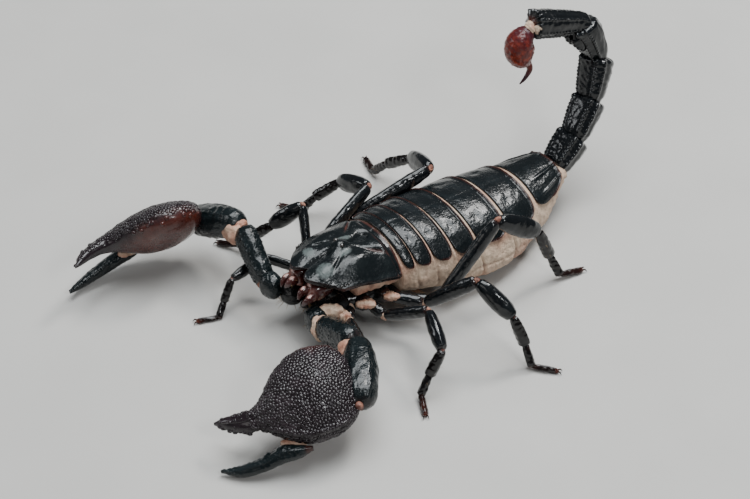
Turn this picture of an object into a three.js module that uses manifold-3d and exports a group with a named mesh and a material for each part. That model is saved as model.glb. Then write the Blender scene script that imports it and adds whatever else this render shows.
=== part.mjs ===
// Emperor scorpion, adult, life size, standing with its sting curled forward over the back.
// Millimetres, +Z up. The head points along -Y, the animal's left is +X, the floor is z = 0.
import * as THREE from 'three';
import { mergeVertices } from 'three/addons/utils/BufferGeometryUtils.js';
import Module from 'manifold-3d';

const wasm = await Module();
wasm.setup();

// ---------------------------------------------------------------- driving dimensions

const GAP = 0.3;                     // clearance between neighbouring solids
const LEFT = 1;
const RIGHT = -1;

// Prosoma (head shield)
const SHIELD_LENGTH = 20.5;          // front notch to rear margin, on the midline
const SHIELD_LOBE = 3.4;             // how far the two front lobes pass the notch
const SHIELD_HALF_WIDTH = 12.4;      // at the rear
const SHIELD_TOP = 22.2;             // height of the rear margin above the floor
const SHIELD_WALL = 1.0;
const EYE_RADIUS = 0.55;
const EYE_CLEARANCE = 0.2;

// Mesosoma (trunk behind the shield): rear edge of each tergite along Y, and the back's height there
const TERGITE_EDGES = [0.6, 3.4, 8.4, 14.6, 21.9, 32.6, 43.9, 57.4];
const TERGITE_WALL = 0.8;
const MEMBRANE_BANDS = [0.5, 0.8, 1.0, 1.1, 1.3, 1.6, 1.9];
const TRUNK_END = 60.4;

// Metasoma (tail): where each segment ends, and its width and depth there.
// `bend` is how much of the far end is cut back on the outside of the curl.
const TAIL_BASE = [1, 60, 12];
const TAIL_SEGMENTS = [
  { end: [0.2, 67.2, 17.9], width: 8.8, depth: 8.2, bend: 0 },
  { end: [-2, 74.3, 25.9], width: 8.4, depth: 7.9, bend: 0 },
  { end: [-5, 79.2, 36], width: 8.2, depth: 8, bend: 0.3 },
  { end: [-7.5, 75.4, 48], width: 7.6, depth: 7.6, bend: 1.3 },
  { end: [-9.9, 59.4, 53.2], width: 6.8, depth: 6.6, bend: 0 },
];
const BULB = [[-9.9, 58.9, 52.1], [-9.8, 55.4, 49], [-9.8, 55.8, 44.8], [-9.7, 58.2, 41.4]];
const STING = [[-9.7, 58.4, 41.5], [-9.7, 59.2, 38.5], [-9.7, 57.8, 36.5], [-9.6, 55.8, 35.4]];

// Pedipalps: trochanter, femur and patella, whose stops are [place along, share of tall, share of
// wide]; then each pedipalp's pose, with the hand's heading, rise and roll.
const PALP_TROCHANTER = { inner: 4.6, outer: 0.8, back: 0.6, raise: 0.6 };
const PALP_FEMUR = {
  length: 17.2, tall: 7.4, wide: 6.2,
  stops: [
    [0.05, 0.5, 0.5], [0.14, 0.82, 0.8], [0.4, 0.95, 0.95], [0.72, 1, 1], [0.86, 0.9, 0.9], [0.93, 0.6, 0.6],
  ],
};
const PALP_PATELLA = {
  length: 18.7, tall: 8.4, wide: 8.6,
  stops: [
    [0.06, 0.5, 0.45], [0.16, 0.8, 0.72], [0.38, 1, 1], [0.7, 1, 0.98], [0.88, 0.84, 0.8], [0.97, 0.5, 0.5],
  ],
};
const PALP_POSES = [
  { name: 'left', side: LEFT, hip: [8.5, -24, 9], femur: [-1, 23], patella: [-35, -6],
    hand: [-127, -10], roll: 33, droop: 0 },
  { name: 'right', side: RIGHT, hip: [-10.5, -26.5, 11], femur: [12, 29], patella: [-12, -27],
    hand: [-88, 5], roll: 55, droop: 3.4 },
];

// Walking legs, front to rear: segment lengths from femur to last tarsus, and the depth of each.
const LEG_SIZES = [
  { lengths: [10.7, 10.8, 6.6, 4.3, 5.7], depths: [3.0, 3.3, 2.3, 1.9, 1.5] },
  { lengths: [14.5, 11.6, 7.6, 5.5, 6.4], depths: [3.5, 4.4, 2.9, 2.3, 1.7] },
  { lengths: [18.2, 12.8, 8.6, 6.0, 6.8], depths: [4.0, 5.2, 3.0, 2.3, 1.7] },
  { lengths: [25.5, 14.5, 10.1, 6.6, 7.0], depths: [4.3, 5.5, 2.9, 2.3, 1.8] },
];
// coxa: where the leg leaves the body. hip: top of the femur. bends: heading and rise of each
// segment down to the last, whose heading is `toe` and which reaches down to the floor.
const LEG_POSES = [
  { name: 'left_1', pair: 0, side: LEFT, coxa: [8.6, -15, 10], hip: [12, -17.5, 10],
    bends: [[-20, 11], [-37, -35], [-121, -23], [-109, -23]], toe: -101 },
  { name: 'left_2', pair: 1, side: LEFT, coxa: [10.6, -9.8, 10], hip: [15.5, -9, 9],
    bends: [[22, 32], [-21, -17], [-100, -62], [-84, -60]], toe: -29 },
  { name: 'left_3', pair: 2, side: LEFT, coxa: [11.6, -4, 10], hip: [18.5, 1.5, 9.5],
    bends: [[30, 42], [21, -35], [29, -67], [-1, -61]], toe: 40 },
  { name: 'left_4', pair: 3, side: LEFT, coxa: [11.6, -0.6, 7.2], hip: [18, 6.5, 7],
    bends: [[86, 46], [76, -35], [70, -69], [42, -64]], toe: 77 },
  { name: 'right_1', pair: 0, side: RIGHT, coxa: [-8.6, -13, 9], hip: [-11, -14.5, 8.5],
    bends: [[-36, 10], [-94, -5], [-94, -64], [-117, -42]], toe: -67 },
  { name: 'right_2', pair: 1, side: RIGHT, coxa: [-10.6, -9.8, 9.5], hip: [-13, -11.5, 8.5],
    bends: [[30, 47], [-45, -44], [-39, -42], [-32, -46]], toe: -28 },
  { name: 'right_3', pair: 2, side: RIGHT, coxa: [-11.4, -5, 11], hip: [-15, -4.5, 11.5],
    bends: [[80, 20], [-5, -26], [-49, -40], [-50, -51]], toe: -22 },
  { name: 'right_4', pair: 3, side: RIGHT, coxa: [-11.6, -0.6, 9], hip: [-16.7, 4.5, 11.2],
    bends: [[100, 18], [16, -27], [-14, -37], [-13, -47]], toe: 18 },
];

// ---------------------------------------------------------------- materials

const finish = (color, roughness) => new THREE.MeshStandardMaterial({ color, roughness, metalness: 0 });
const SHELL = finish(0x14191c, 0.25);
const CLAW_SHELL = finish(0x2b2125, 0.35);
const MOUTH_SHELL = finish(0x4a1a16, 0.3);
const FOOT_SHELL = finish(0x36191a, 0.35);
const STING_SHELL = finish(0x5c150d, 0.3);
const SKIN = finish(0xcbb39a, 0.55);
const EYE = finish(0x050505, 0.05);

// ---------------------------------------------------------------- small helpers

const point = (x, y, z) => new THREE.Vector3(x, y, z);
const mix = THREE.MathUtils.lerp;
const power = (value, exponent) => Math.sign(value) * Math.abs(value) ** exponent;

// A smooth curve through [position, value] stops, level beyond the first and last.
function through(...stops) {
  const slope = (i) => {
    const before = stops[Math.max(i - 1, 0)];
    const after = stops[Math.min(i + 1, stops.length - 1)];
    return (after[1] - before[1]) / (after[0] - before[0]);
  };
  return (at) => {
    if (at <= stops[0][0]) return stops[0][1];
    const i = stops.findIndex((stop) => stop[0] >= at) - 1;
    if (i < 0) return stops[stops.length - 1][1];
    const span = stops[i + 1][0] - stops[i][0];
    const t = (at - stops[i][0]) / span;
    return stops[i][1] * (1 - t) ** 2 * (1 + 2 * t) + stops[i + 1][1] * t ** 2 * (3 - 2 * t)
      + slope(i) * span * t * (1 - t) ** 2 - slope(i + 1) * span * t ** 2 * (1 - t);
  };
}

// Heading turns from straight out of the body's side (0) towards the tail (90) or head (-90).
function aim(side, heading, rise) {
  const h = THREE.MathUtils.degToRad(heading);
  const r = THREE.MathUtils.degToRad(rise);
  return point(side * Math.cos(h) * Math.cos(r), Math.sin(h) * Math.cos(r), Math.sin(r));
}

// The direction square to `forward` that points most nearly along `up`.
function squareTo(forward, up) {
  return up.clone().addScaledVector(forward, -up.dot(forward)).normalize();
}

const UPWARD = point(0, 0, 1);

// A ball of rows and sides with each vertex put where `place(row, turn)` says.
function reshapedBall(sides, rows, place) {
  const ball = new THREE.SphereGeometry(1, sides, rows);
  const spots = ball.attributes.position;
  const uv = ball.attributes.uv;
  for (let i = 0; i < spots.count; i++) {
    const row = Math.round((1 - uv.getY(i)) * rows);
    const spot = place(row, uv.getX(i) * 2 * Math.PI);
    spots.setXYZ(i, spot.x, spot.y, spot.z);
  }
  return ball;
}

// A bent slab: `place(u, v, outer)` with u across and v along, both from 0 to 1.
function bentSlab(across, along, place) {
  const slab = new THREE.BoxGeometry(1, 1, 1, across, along, 1);
  const spots = slab.attributes.position;
  for (let i = 0; i < spots.count; i++) {
    const spot = place(spots.getX(i) + 0.5, spots.getY(i) + 0.5, spots.getZ(i) > 0);
    spots.setXYZ(i, spot.x, spot.y, spot.z);
  }
  return slab;
}

// Closed geometry to a solid that can be joined and cut, and back again.
function solidOf(geometry) {
  const bare = geometry.clone();
  bare.deleteAttribute('normal');
  bare.deleteAttribute('uv');
  const welded = mergeVertices(bare, 1e-4);
  return new wasm.Manifold(new wasm.Mesh({
    numProp: 3,
    vertProperties: new Float32Array(welded.attributes.position.array),
    triVerts: new Uint32Array(welded.index.array),
  }));
}

function geometryOf(solid) {
  const mesh = solid.getMesh();
  const geometry = new THREE.BufferGeometry();
  geometry.setAttribute('position', new THREE.BufferAttribute(new Float32Array(mesh.vertProperties), 3));
  geometry.setIndex(new THREE.BufferAttribute(new Uint32Array(mesh.triVerts), 1));
  geometry.computeVertexNormals();
  return geometry;
}

// What is left of a solid once its neighbours are cut away: the biggest piece.
function cutClear(solid, ...cutters) {
  const rest = cutters.reduce((body, cutter) => body.subtract(cutter), solid);
  return rest.decompose().reduce((a, b) => (a.volume() > b.volume() ? a : b));
}

// Stops given as shares of a full depth and width.
const sized = (stops, depth, width) => stops.map(
  ([place, tall, wide]) => [place, tall * depth, wide * width],
);

// A body part lofted along joints. A stop is [place, depth, width]: place 1.4 is two fifths of
// the way from the second joint to the third, depth is along `up` and width across it.
function limb({ joints, stops, up = UPWARD, sides = 8, boxy = 1, grow = 0, shift = () => [0, 0] }) {
  const at = (place) => {
    const i = THREE.MathUtils.clamp(Math.floor(place), 0, joints.length - 2);
    return joints[i].clone().lerp(joints[i + 1], place - i);
  };
  const rings = stops.map(([place, depth, width]) => {
    const forward = at(Math.min(place + 0.06, joints.length - 1)).sub(at(Math.max(place - 0.06, 0)));
    forward.normalize();
    const tall = squareTo(forward, up);
    const [raise, slide] = shift(place);
    const side = tall.clone().cross(forward);
    const centre = at(place).addScaledVector(tall, raise).addScaledVector(side, slide);
    return { centre, forward, tall, side, depth: depth / 2 + grow, width: width / 2 + grow };
  });
  rings[0].centre.addScaledVector(rings[0].forward, -grow);
  rings.at(-1).centre.addScaledVector(rings.at(-1).forward, grow);
  const last = rings.length + 1;
  return solidOf(reshapedBall(sides, last, (row, turn) => {
    const ring = rings[THREE.MathUtils.clamp(row - 1, 0, rings.length - 1)];
    if (row === 0 || row === last) return ring.centre.clone();
    return ring.centre.clone()
      .addScaledVector(ring.side, -power(Math.cos(turn), boxy) * ring.width)
      .addScaledVector(ring.tall, power(Math.sin(turn), boxy) * ring.depth);
  }));
}

// ---------------------------------------------------------------- the node list

// Limb and body groups hang in one group whose origin is moved to the middle of the footprint.
const FOOTPRINT_MIDDLE = point(0.62, 7.03, 0);
const scorpion = new THREE.Group();
const animal = new THREE.Group();
animal.position.copy(FOOTPRINT_MIDDLE).negate();
scorpion.add(animal);

// A mesh's own origin is the joint it grows from.
function addPart(group, name, solid, material, joint) {
  const geometry = geometryOf(solid);
  geometry.translate(-joint.x, -joint.y, -joint.z);
  const mesh = new THREE.Mesh(geometry, material);
  mesh.name = name;
  mesh.position.copy(joint);
  group.add(mesh);
}

const groupOf = () => {
  const group = new THREE.Group();
  animal.add(group);
  return group;
};

const body = groupOf();

// ---------------------------------------------------------------- head shield and eyes

const shieldHalfWidth = through(
  [-24, 6.6], [-20, 8.9], [-12, 10.9], [-5, 12.1], [-1.5, SHIELD_HALF_WIDTH], [0, 11.6],
);
const shieldMiddle = through([-24, 21.2], [-20.5, 21.6], [-13, 23], [-7, 22.6], [0, SHIELD_TOP]);
const shieldDrop = through([-24, 1.5], [-20, 2.7], [-12, 4.4], [-5, 5.3], [0, 6.3]);
const EYE_HILL = {
  y: -11, height: 1.4, length: 2.7, width: 1.7,
  eyeX: 1.25, eyeForward: 0.4, eyeProud: 0.1,
};

function shieldArch(x, y) {
  const reach = Math.min(Math.abs(x) / shieldHalfWidth(y), 1);
  return shieldMiddle(y) - shieldDrop(y) * reach ** 2.3;
}

function shieldHeight(x, y) {
  const away = (x / EYE_HILL.width) ** 2 + ((y - EYE_HILL.y) / EYE_HILL.length) ** 2;
  return shieldArch(x, y) + EYE_HILL.height * Math.exp(-away);
}

// The front margin is two rounded lobes either side of a notch.
function shieldFront(reach) {
  const lobe = Math.sin(Math.PI * Math.min(Math.abs(reach) * 1.15, 1)) ** 0.7;
  return -SHIELD_LENGTH - SHIELD_LOBE * Math.max(lobe, 0) + 3.2 * Math.abs(reach) ** 6;
}

function shieldPoint(u, v, drop) {
  const reach = 2 * u - 1;
  const y = mix(0, shieldFront(reach), v) - 0.9 * reach ** 8 * (1 - v);
  const x = reach * shieldHalfWidth(y);
  return point(x, y, shieldHeight(x, y) - drop);
}

const shield = solidOf(bentSlab(12, 9, (u, v, outer) => shieldPoint(1 - u, v, outer ? 0 : SHIELD_WALL)));
const eyes = [LEFT, RIGHT].map((side) => {
  const x = side * EYE_HILL.eyeX;
  const y = EYE_HILL.y - EYE_HILL.eyeForward;
  return point(x, y, shieldHeight(x, y) + EYE_HILL.eyeProud);
});
const ballAt = (centre, radius) => {
  const ball = new THREE.SphereGeometry(radius, 8, 6);
  ball.translate(centre.x, centre.y, centre.z);
  return solidOf(ball);
};
const eyeSockets = eyes.map((eye) => ballAt(eye, EYE_RADIUS + EYE_CLEARANCE));
addPart(body, 'carapace', cutClear(shield, ...eyeSockets), SHELL, point(0, 0, SHIELD_TOP));
eyes.forEach((eye, i) => addPart(body, ['eye_left', 'eye_right'][i], ballAt(eye, EYE_RADIUS), EYE, eye));

// ---------------------------------------------------------------- coxae: the underside of the head

const COXAE_FRONT = -17.2;
const COXAE_REAR = -0.9;
const coxaeBottom = through([-18, 6.2], [-10, 5.2], [-1, 5.4]);

const coxaeBlock = solidOf(bentSlab(6, 5, (u, v, outer) => {
  const y = mix(COXAE_REAR, COXAE_FRONT, v);
  const reach = 1 - 2 * u;
  const topHalf = shieldHalfWidth(y) - 1.6;
  const x = reach * (outer ? topHalf : topHalf * 0.72);
  return point(x, y, outer ? shieldArch(x, y) - SHIELD_WALL - GAP - 0.1 : coxaeBottom(y) + 1.6 * reach ** 4);
}));
const palpCoxae = [LEFT, RIGHT].map((side) => limb({
  joints: [point(side * 4.6, -14, 9.6), point(side * 3.9, -21.5, 9.6)],
  stops: [[0, 6, 5.6], [0.3, 7, 6.4], [0.75, 6.4, 5.8], [0.98, 3.6, 3.2]],
}));
const coxae = palpCoxae.reduce((joined, coxa) => joined.add(coxa), coxaeBlock);

// ---------------------------------------------------------------- chelicerae (jaws)

const chelicerae = [LEFT, RIGHT].map((side) => limb({
  joints: [point(side * 3.1, -17.6, 16), point(side * 3.4, -26.6, 15.6)],
  stops: [[0, 4.2, 4.4], [0.15, 5.0, 5.0], [0.55, 5.2, 5.0], [0.8, 4.2, 4.0], [0.97, 1.8, 1.9]],
  sides: 10,
}));

// ---------------------------------------------------------------- trunk, tergites and sternites

const backHeight = through(
  [0, 22.3], [8.4, 21.7], [14.6, 20.9], [21.9, 20], [32.6, 18.9], [43.9, 17.6], [52, 16.9],
  [57.4, 16.5], [60.4, 15.4],
);
const bellyHeight = through(
  [-0.5, 6], [4, 4.2], [10, 2.9], [20, 2], [30, 1.8], [40, 1.9], [48, 2.9], [54, 5.8], [58, 8.6],
  [TRUNK_END, 10.4],
);
const trunkHalfWidth = through(
  [-0.5, 11.4], [5, 12.7], [14, 13.9], [24, 14.1], [34, 13.4], [44, 11.3], [51, 8.9], [56, 6.7],
  [60.4, 4.8],
);
const waistHeight = through([-0.5, 12.5], [12, 10.4], [30, 8.6], [45, 8], [53, 9.4], [60.4, 12.2]);
const trunkSway = through([0, 0], [15, 0.5], [25, 0.8], [45, 1.3], [60.4, 1]);
const flankSag = through([12, 0], [20, 1.2], [26, 2.3], [34, 2.2], [41, 0.9], [48, 0]);

// A point of the trunk's skin, `turn` from the middle of the back, moved out by `grow`. The soft
// flanks sag outwards below the waist.
function trunkPoint(y, turn, grow) {
  const waist = waistHeight(y);
  const above = Math.cos(turn) > 0;
  const rise = above ? backHeight(y) - TERGITE_WALL - GAP - waist : waist - bellyHeight(y);
  const sag = above ? 0 : flankSag(y) * Math.abs(Math.sin(2 * turn));
  const reach = power(Math.sin(turn), above ? 1 : 0.8) * (trunkHalfWidth(y) + grow);
  const x = trunkSway(y) + reach + Math.sign(Math.sin(turn)) * sag;
  const z = waist + power(Math.cos(turn), above ? 1 : 0.85) * (rise + grow) - sag / 4;
  return point(x, y, z);
}

const TRUNK_SIDES = 16;
const TRUNK_ROWS = [0.15, 1.2, 6, 12, 18, 25, 32, 39, 45, 50, 54, 57.5, TRUNK_END];
const trunkSolid = (grow) => solidOf(reshapedBall(TRUNK_SIDES, TRUNK_ROWS.length + 1, (row, turn) => {
  const y = TRUNK_ROWS[THREE.MathUtils.clamp(row - 1, 0, TRUNK_ROWS.length - 1)];
  const end = row === 0 ? -grow : row > TRUNK_ROWS.length ? grow : 0;
  if (end || row === 0 || row > TRUNK_ROWS.length) return point(trunkSway(y), y + end, waistHeight(y));
  return trunkPoint(y, Math.PI / 2 - turn + Math.PI, grow);
}));
const trunk = trunkSolid(0);
addPart(body, 'mesosoma', trunk, SKIN, point(0, 0, 12));

// Each tergite is a curved plate whose rear edge stands a little proud of the skin behind it.
const PLATE_REACH = THREE.MathUtils.degToRad(66);
for (let i = 0; i < 7; i++) {
  const front = TERGITE_EDGES[i] + MEMBRANE_BANDS[i];
  const rear = TERGITE_EDGES[i + 1];
  const plate = bentSlab(10, 2, (u, v, outer) => {
    const reach = 1 - 2 * u;
    const inset = 0.3 * (rear - front) * Math.abs(reach) ** 6;
    const y = mix(rear - inset, front + inset, v);
    return trunkPoint(y, reach * PLATE_REACH, GAP + (outer ? TERGITE_WALL : 0) + 0.15 * (1 - v));
  });
  addPart(body, `tergite_${i + 1}`, solidOf(plate), SHELL, point(0, front, backHeight(front)));
}

// The belly plates are one stepped slab under the trunk.
const STERNITE_FRONT = 13;
const STERNITE_REAR = 56;
const STERNITE_REACH = 0.72;
const sternites = bentSlab(6, 10, (u, v, outer) => {
  const y = mix(STERNITE_FRONT, STERNITE_REAR, v);
  const step = 0.25 * (1 - (v * 5) % 1);
  return trunkPoint(y, Math.PI + (2 * u - 1) * STERNITE_REACH, GAP + (outer ? 0.55 + step : 0));
});
addPart(body, 'sternites', solidOf(sternites), SHELL, point(0, STERNITE_FRONT, bellyHeight(STERNITE_FRONT)));

// The pectines are a pair of combs under the front of the belly.
const COMB = { length: 9.5, teeth: 14, width: 2.6, front: 3.5 };
[LEFT, RIGHT].forEach((side, i) => {
  const comb = bentSlab(2 * COMB.teeth, 1, (u, v, outer) => {
    const along = side === LEFT ? u : 1 - u;
    const tooth = Math.round(u * 2 * COMB.teeth) % 2 ? 0.9 : 0;
    const y = COMB.front + 3.2 * along + (v ? (COMB.width - tooth) * (1 - 0.5 * along) : 0);
    const x = side * (0.9 + COMB.length * along);
    return point(x, y, bellyHeight(y) - GAP - (outer ? 0 : 0.6) - 0.2);
  });
  addPart(body, ['pecten_left', 'pecten_right'][i], solidOf(comb), SKIN, point(side, COMB.front, 3.5));
});

// ---------------------------------------------------------------- tail and sting

// Shares of a segment's depth and width along it: a narrow neck, a swollen body, a drawn-in end.
const TAIL_STOPS = [
  [0.02, 0.68, 0.7], [0.12, 0.86, 0.88], [0.35, 0.94, 0.95], [0.75, 1, 1], [0.92, 0.94, 0.95], [1, 0.7, 0.75],
];
const tail = groupOf();
let tailJoint = point(...TAIL_BASE);
let beforeTail = trunkSolid(GAP);
TAIL_SEGMENTS.forEach(({ end, width, depth, bend }, i) => {
  const nextJoint = point(...end);
  const dorsal = point(1, 0, 0).cross(nextJoint.clone().sub(tailJoint)).normalize();
  const start = i ? TAIL_SEGMENTS[i - 1].bend : 0;
  const segment = (grow) => limb({
    joints: [tailJoint, nextJoint],
    up: dorsal,
    sides: 12,
    boxy: 0.72,
    grow,
    shift: (place) => [start * Math.max(0.25 - place, 0) * 4 + bend * Math.max(place - 0.7, 0) * 3.3, 0],
    stops: sized(TAIL_STOPS, depth, width),
  });
  addPart(tail, `metasoma_${i + 1}`, cutClear(segment(0), beforeTail), SHELL, tailJoint);
  beforeTail = segment(GAP);
  tailJoint = nextJoint;
});

// The telson: a bulb that hangs below the tail's end, and the curved sting.
const bulb = (grow) => limb({
  joints: BULB.map((spot) => point(...spot)),
  up: point(0, 1, 0.2),
  sides: 12,
  grow,
  stops: [
    [0.02, 3, 3.2], [0.3, 5.2, 5.2], [0.75, 7.2, 7.4], [1.2, 7.9, 7.8], [1.7, 7.3, 7.2], [2.2, 5.6, 5.4],
    [2.6, 3.8, 3.6], [2.98, 2, 2],
  ],
});
addPart(tail, 'telson', cutClear(bulb(0), beforeTail), STING_SHELL, tailJoint);
const sting = limb({
  joints: STING.map((spot) => point(...spot)),
  up: point(1, 0, 0),
  stops: [[0, 1.9, 1.9], [0.6, 1.6, 1.6], [1.2, 1.3, 1.3], [1.9, 1, 1], [2.5, 0.75, 0.75], [3, 0.5, 0.5]],
});
addPart(tail, 'aculeus', cutClear(sting, bulb(GAP)), STING_SHELL, point(...STING[0]));

// ---------------------------------------------------------------- pedipalps

// The hand lies in a plane of its own: `along` from the wrist to the fixed finger's tip,
// inner and outer edges either side of that line, and the thickness of the palm.
const innerEdge = through(
  [0.6, 3.5], [2.4, 10], [5.4, 14], [8.9, 15.1], [12.5, 14.9], [17.7, 12.4], [21.1, 8.6],
  [23.5, 4.4], [25.5, 2.2], [29, 1.3], [33.4, 0.9], [35.9, 0.35],
);
const outerEdge = through(
  [0.6, -1.4], [2.2, -3.8], [4.7, -5.8], [9, -7.4], [12.6, -7.9], [17, -7], [20.6, -5.4],
  [24.2, -3.6], [27.6, -3.6], [33.1, -2], [35.9, -0.35],
);
const handDepth = through(
  [0.6, 3.6], [3, 6.8], [8, 9.8], [14, 10.2], [20, 7.6], [25, 4.4], [30, 3.2], [34, 2],
  [35.9, 0.8],
);
const fingerMiddle = through(
  [12.8, -9.2], [16.3, -9.5], [20, -9.6], [23.5, -11.2], [26.4, -11.8], [30.3, -12.3], [33, -12.1],
  [35.3, -11.6],
);
const fingerWidth = through(
  [12.8, 1.2], [16.3, 3.4], [20, 4.4], [23.5, 3.4], [26.4, 3.3], [30.3, 2.8], [33, 1.7],
  [35.3, 0.7],
);
const fingerDepth = through([12.8, 2.2], [15.6, 3.6], [20, 3.8], [26, 3.2], [32, 2], [35.3, 0.8]);
const handArch = through([0.6, 0], [8, 0.3], [15, 1.2], [22, 2.3], [28, 2.6], [33, 1.3], [35.9, 0]);
const HAND_ROWS = [0.6, 2.2, 4.2, 7, 10.5, 14, 17.4, 20.4, 22.8, 25, 28, 32, 35.9];
const FINGER_ROWS = [12.8, 14.6, 17.2, 20, 23.5, 27, 31, 35.3];
const FINGER_REACH = FINGER_ROWS.at(-1) - FINGER_ROWS[0];
const FINGER_RAISE = 0.8;               // how far the finger's root stands behind the palm's plane

// A loft between two edges in the hand's plane.
function handLoft(frame, { rows, middle, width, depth, arch }, grow, sides) {
  const last = rows.length + 1;
  return solidOf(reshapedBall(sides, last, (row, turn) => {
    const along = rows[THREE.MathUtils.clamp(row - 1, 0, rows.length - 1)];
    const end = row === 0 ? -grow : row === last ? grow : 0;
    const tip = row === 0 || row === last;
    const inward = middle(along) + (tip ? 0 : -frame.turnSide * Math.cos(turn) * (width(along) / 2 + grow));
    const raise = arch(along) + (tip ? 0 : power(Math.sin(turn), 0.9) * (depth(along) / 2 + grow));
    return frame.origin.clone()
      .addScaledVector(frame.forward, along + end)
      .addScaledVector(frame.inward, inward)
      .addScaledVector(frame.back, raise);
  }));
}

function makePalp({ name, side, hip, femur, patella, hand, roll, droop }) {
  const group = groupOf();
  const shoulder = point(...hip);
  const elbow = shoulder.clone().addScaledVector(aim(side, ...femur), PALP_FEMUR.length);
  const wrist = elbow.clone().addScaledVector(aim(side, ...patella), PALP_PATELLA.length);

  const femurSolid = (grow) => limb({
    joints: [shoulder, elbow], sides: 10, boxy: 0.8, grow,
    stops: sized(PALP_FEMUR.stops, PALP_FEMUR.tall, PALP_FEMUR.wide),
  });
  const patellaSolid = (grow) => limb({
    joints: [elbow, wrist], sides: 10, boxy: 0.9, grow, shift: () => [0.3, 0],
    stops: sized(PALP_PATELLA.stops, PALP_PATELLA.tall, PALP_PATELLA.wide),
  });
  const trochanterSolid = (grow) => limb({
    joints: [
      shoulder.clone().add(point(-side * PALP_TROCHANTER.inner, PALP_TROCHANTER.back, PALP_TROCHANTER.raise)),
      shoulder.clone().add(point(side * PALP_TROCHANTER.outer, 0, PALP_TROCHANTER.raise)),
    ],
    sides: 10,
    grow,
    stops: [[0, 4, 3.4], [0.2, 6.4, 5], [0.6, 7.4, 5.6], [0.9, 6.6, 5], [1, 4, 3.6]],
  });

  const forward = aim(side, ...hand);
  const flatBack = squareTo(forward, UPWARD);
  const outward = forward.clone().cross(flatBack).multiplyScalar(-side);
  const lean = THREE.MathUtils.degToRad(roll);
  const back = flatBack.multiplyScalar(Math.cos(lean)).addScaledVector(outward, Math.sin(lean));
  const inward = back.clone().cross(forward).multiplyScalar(-side);
  const frame = { origin: wrist, forward, back, inward, turnSide: -side };
  const handMiddle = (along) => (innerEdge(along) + outerEdge(along)) / 2;
  const handWidth = (along) => innerEdge(along) - outerEdge(along);
  const fingerArch = (along) => {
    const reach = (along - FINGER_ROWS[0]) / FINGER_REACH;
    return FINGER_RAISE - (droop + FINGER_RAISE) * reach ** 1.5;
  };
  const palmShape = {
    rows: HAND_ROWS, middle: handMiddle, width: handWidth, depth: handDepth, arch: handArch,
  };
  const fingerShape = {
    rows: FINGER_ROWS, middle: fingerMiddle, width: fingerWidth, depth: fingerDepth, arch: fingerArch,
  };
  const handSolid = handLoft(frame, palmShape, 0, 12);
  const fingerSolid = (grow) => handLoft(frame, fingerShape, grow, 8);

  addPart(group, `palp_${name}_trochanter`, cutClear(trochanterSolid(0), femurSolid(GAP)), SHELL, shoulder);
  addPart(group, `palp_${name}_femur`, femurSolid(0), SHELL, shoulder);
  addPart(group, `palp_${name}_patella`, cutClear(patellaSolid(0), femurSolid(GAP)), SHELL, elbow);
  const palm = cutClear(handSolid, fingerSolid(GAP), patellaSolid(GAP));
  addPart(group, `palp_${name}_hand`, palm, CLAW_SHELL, wrist);
  const hinge = wrist.clone().addScaledVector(forward, FINGER_ROWS[0]);
  addPart(group, `palp_${name}_finger`, fingerSolid(0), SHELL, hinge);
  return trochanterSolid(GAP);
}

const grownTrochanters = PALP_POSES.map(makePalp);

// ---------------------------------------------------------------- walking legs

const LEG_PATELLA_STOPS = [
  [0.03, 0.4, 0.3], [0.14, 0.66, 0.46], [0.5, 1, 0.64],
  [0.75, 0.92, 0.62], [0.93, 0.62, 0.46], [0.99, 0.36, 0.3],
];
const TREAD = 0.16;                  // how much of each toe is flattened on the floor
const TOE_HEIGHT = 0.4;              // first guess at the toe's middle above the floor
const FLOOR = solidOf(new THREE.BoxGeometry(300, 300, 20).translate(0, 0, -10));

function makeLeg({ name, pair, side, coxa, hip, bends, toe }) {
  const group = groupOf();
  const { lengths, depths } = LEG_SIZES[pair];
  const joints = [point(...hip)];
  bends.forEach((bend, i) => joints.push(joints[i].clone().addScaledVector(aim(side, ...bend), lengths[i])));
  const [femurDepth, patellaDepth, tibiaDepth, basitarsusDepth, tarsusDepth] = depths;

  const toeTip = (height) => {
    const drop = THREE.MathUtils.radToDeg(Math.asin((joints[4].z - height) / lengths[4]));
    return joints[4].clone().addScaledVector(aim(side, toe, -drop), lengths[4]);
  };

  const upper = (grow) => limb({
    joints: [point(...coxa), joints[0], joints[1]], grow,
    stops: [[0.02, 2.2, 2.2], [0.5, 3, 2.8], [0.95, 2.6, 2.2], [1.12, 0.86 * femurDepth, 0.6 * femurDepth],
      [1.5, femurDepth, 0.64 * femurDepth], [1.88, 0.94 * femurDepth, 0.62 * femurDepth],
      [1.96, 0.5 * femurDepth, 0.4 * femurDepth]],
  });
  const middle = (grow) => limb({
    joints: [joints[1], joints[2]], grow,
    stops: sized(LEG_PATELLA_STOPS, patellaDepth, patellaDepth),
  });
  const footWithToeAt = (height) => limb({
    joints: [...joints.slice(2), toeTip(height)],
    sides: 6,
    stops: [[0.04, 0.55 * tibiaDepth, 0.5 * tibiaDepth], [0.25, 0.85 * tibiaDepth, 0.7 * tibiaDepth],
      [0.8, tibiaDepth, 0.8 * tibiaDepth], [1.06, 0.84 * basitarsusDepth, 0.76 * basitarsusDepth],
      [1.8, basitarsusDepth, 0.85 * basitarsusDepth], [2.05, 0.9 * tarsusDepth, 0.9 * tarsusDepth],
      [2.5, tarsusDepth, 0.95 * tarsusDepth], [2.85, 0.8 * tarsusDepth, 0.9 * tarsusDepth],
      [3, 0.45 * tarsusDepth, 0.5 * tarsusDepth]],
  });
  const sole = footWithToeAt(TOE_HEIGHT).boundingBox().min[2];
  const foot = footWithToeAt(TOE_HEIGHT - sole - TREAD);
  addPart(group, `leg_${name}_femur`, upper(0), SHELL, joints[0]);
  addPart(group, `leg_${name}_patella`, cutClear(middle(0), upper(GAP)), SHELL, joints[1]);
  addPart(group, `leg_${name}_foot`, cutClear(foot, middle(GAP), FLOOR), FOOT_SHELL, joints[2]);
  return upper(GAP);
}

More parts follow.
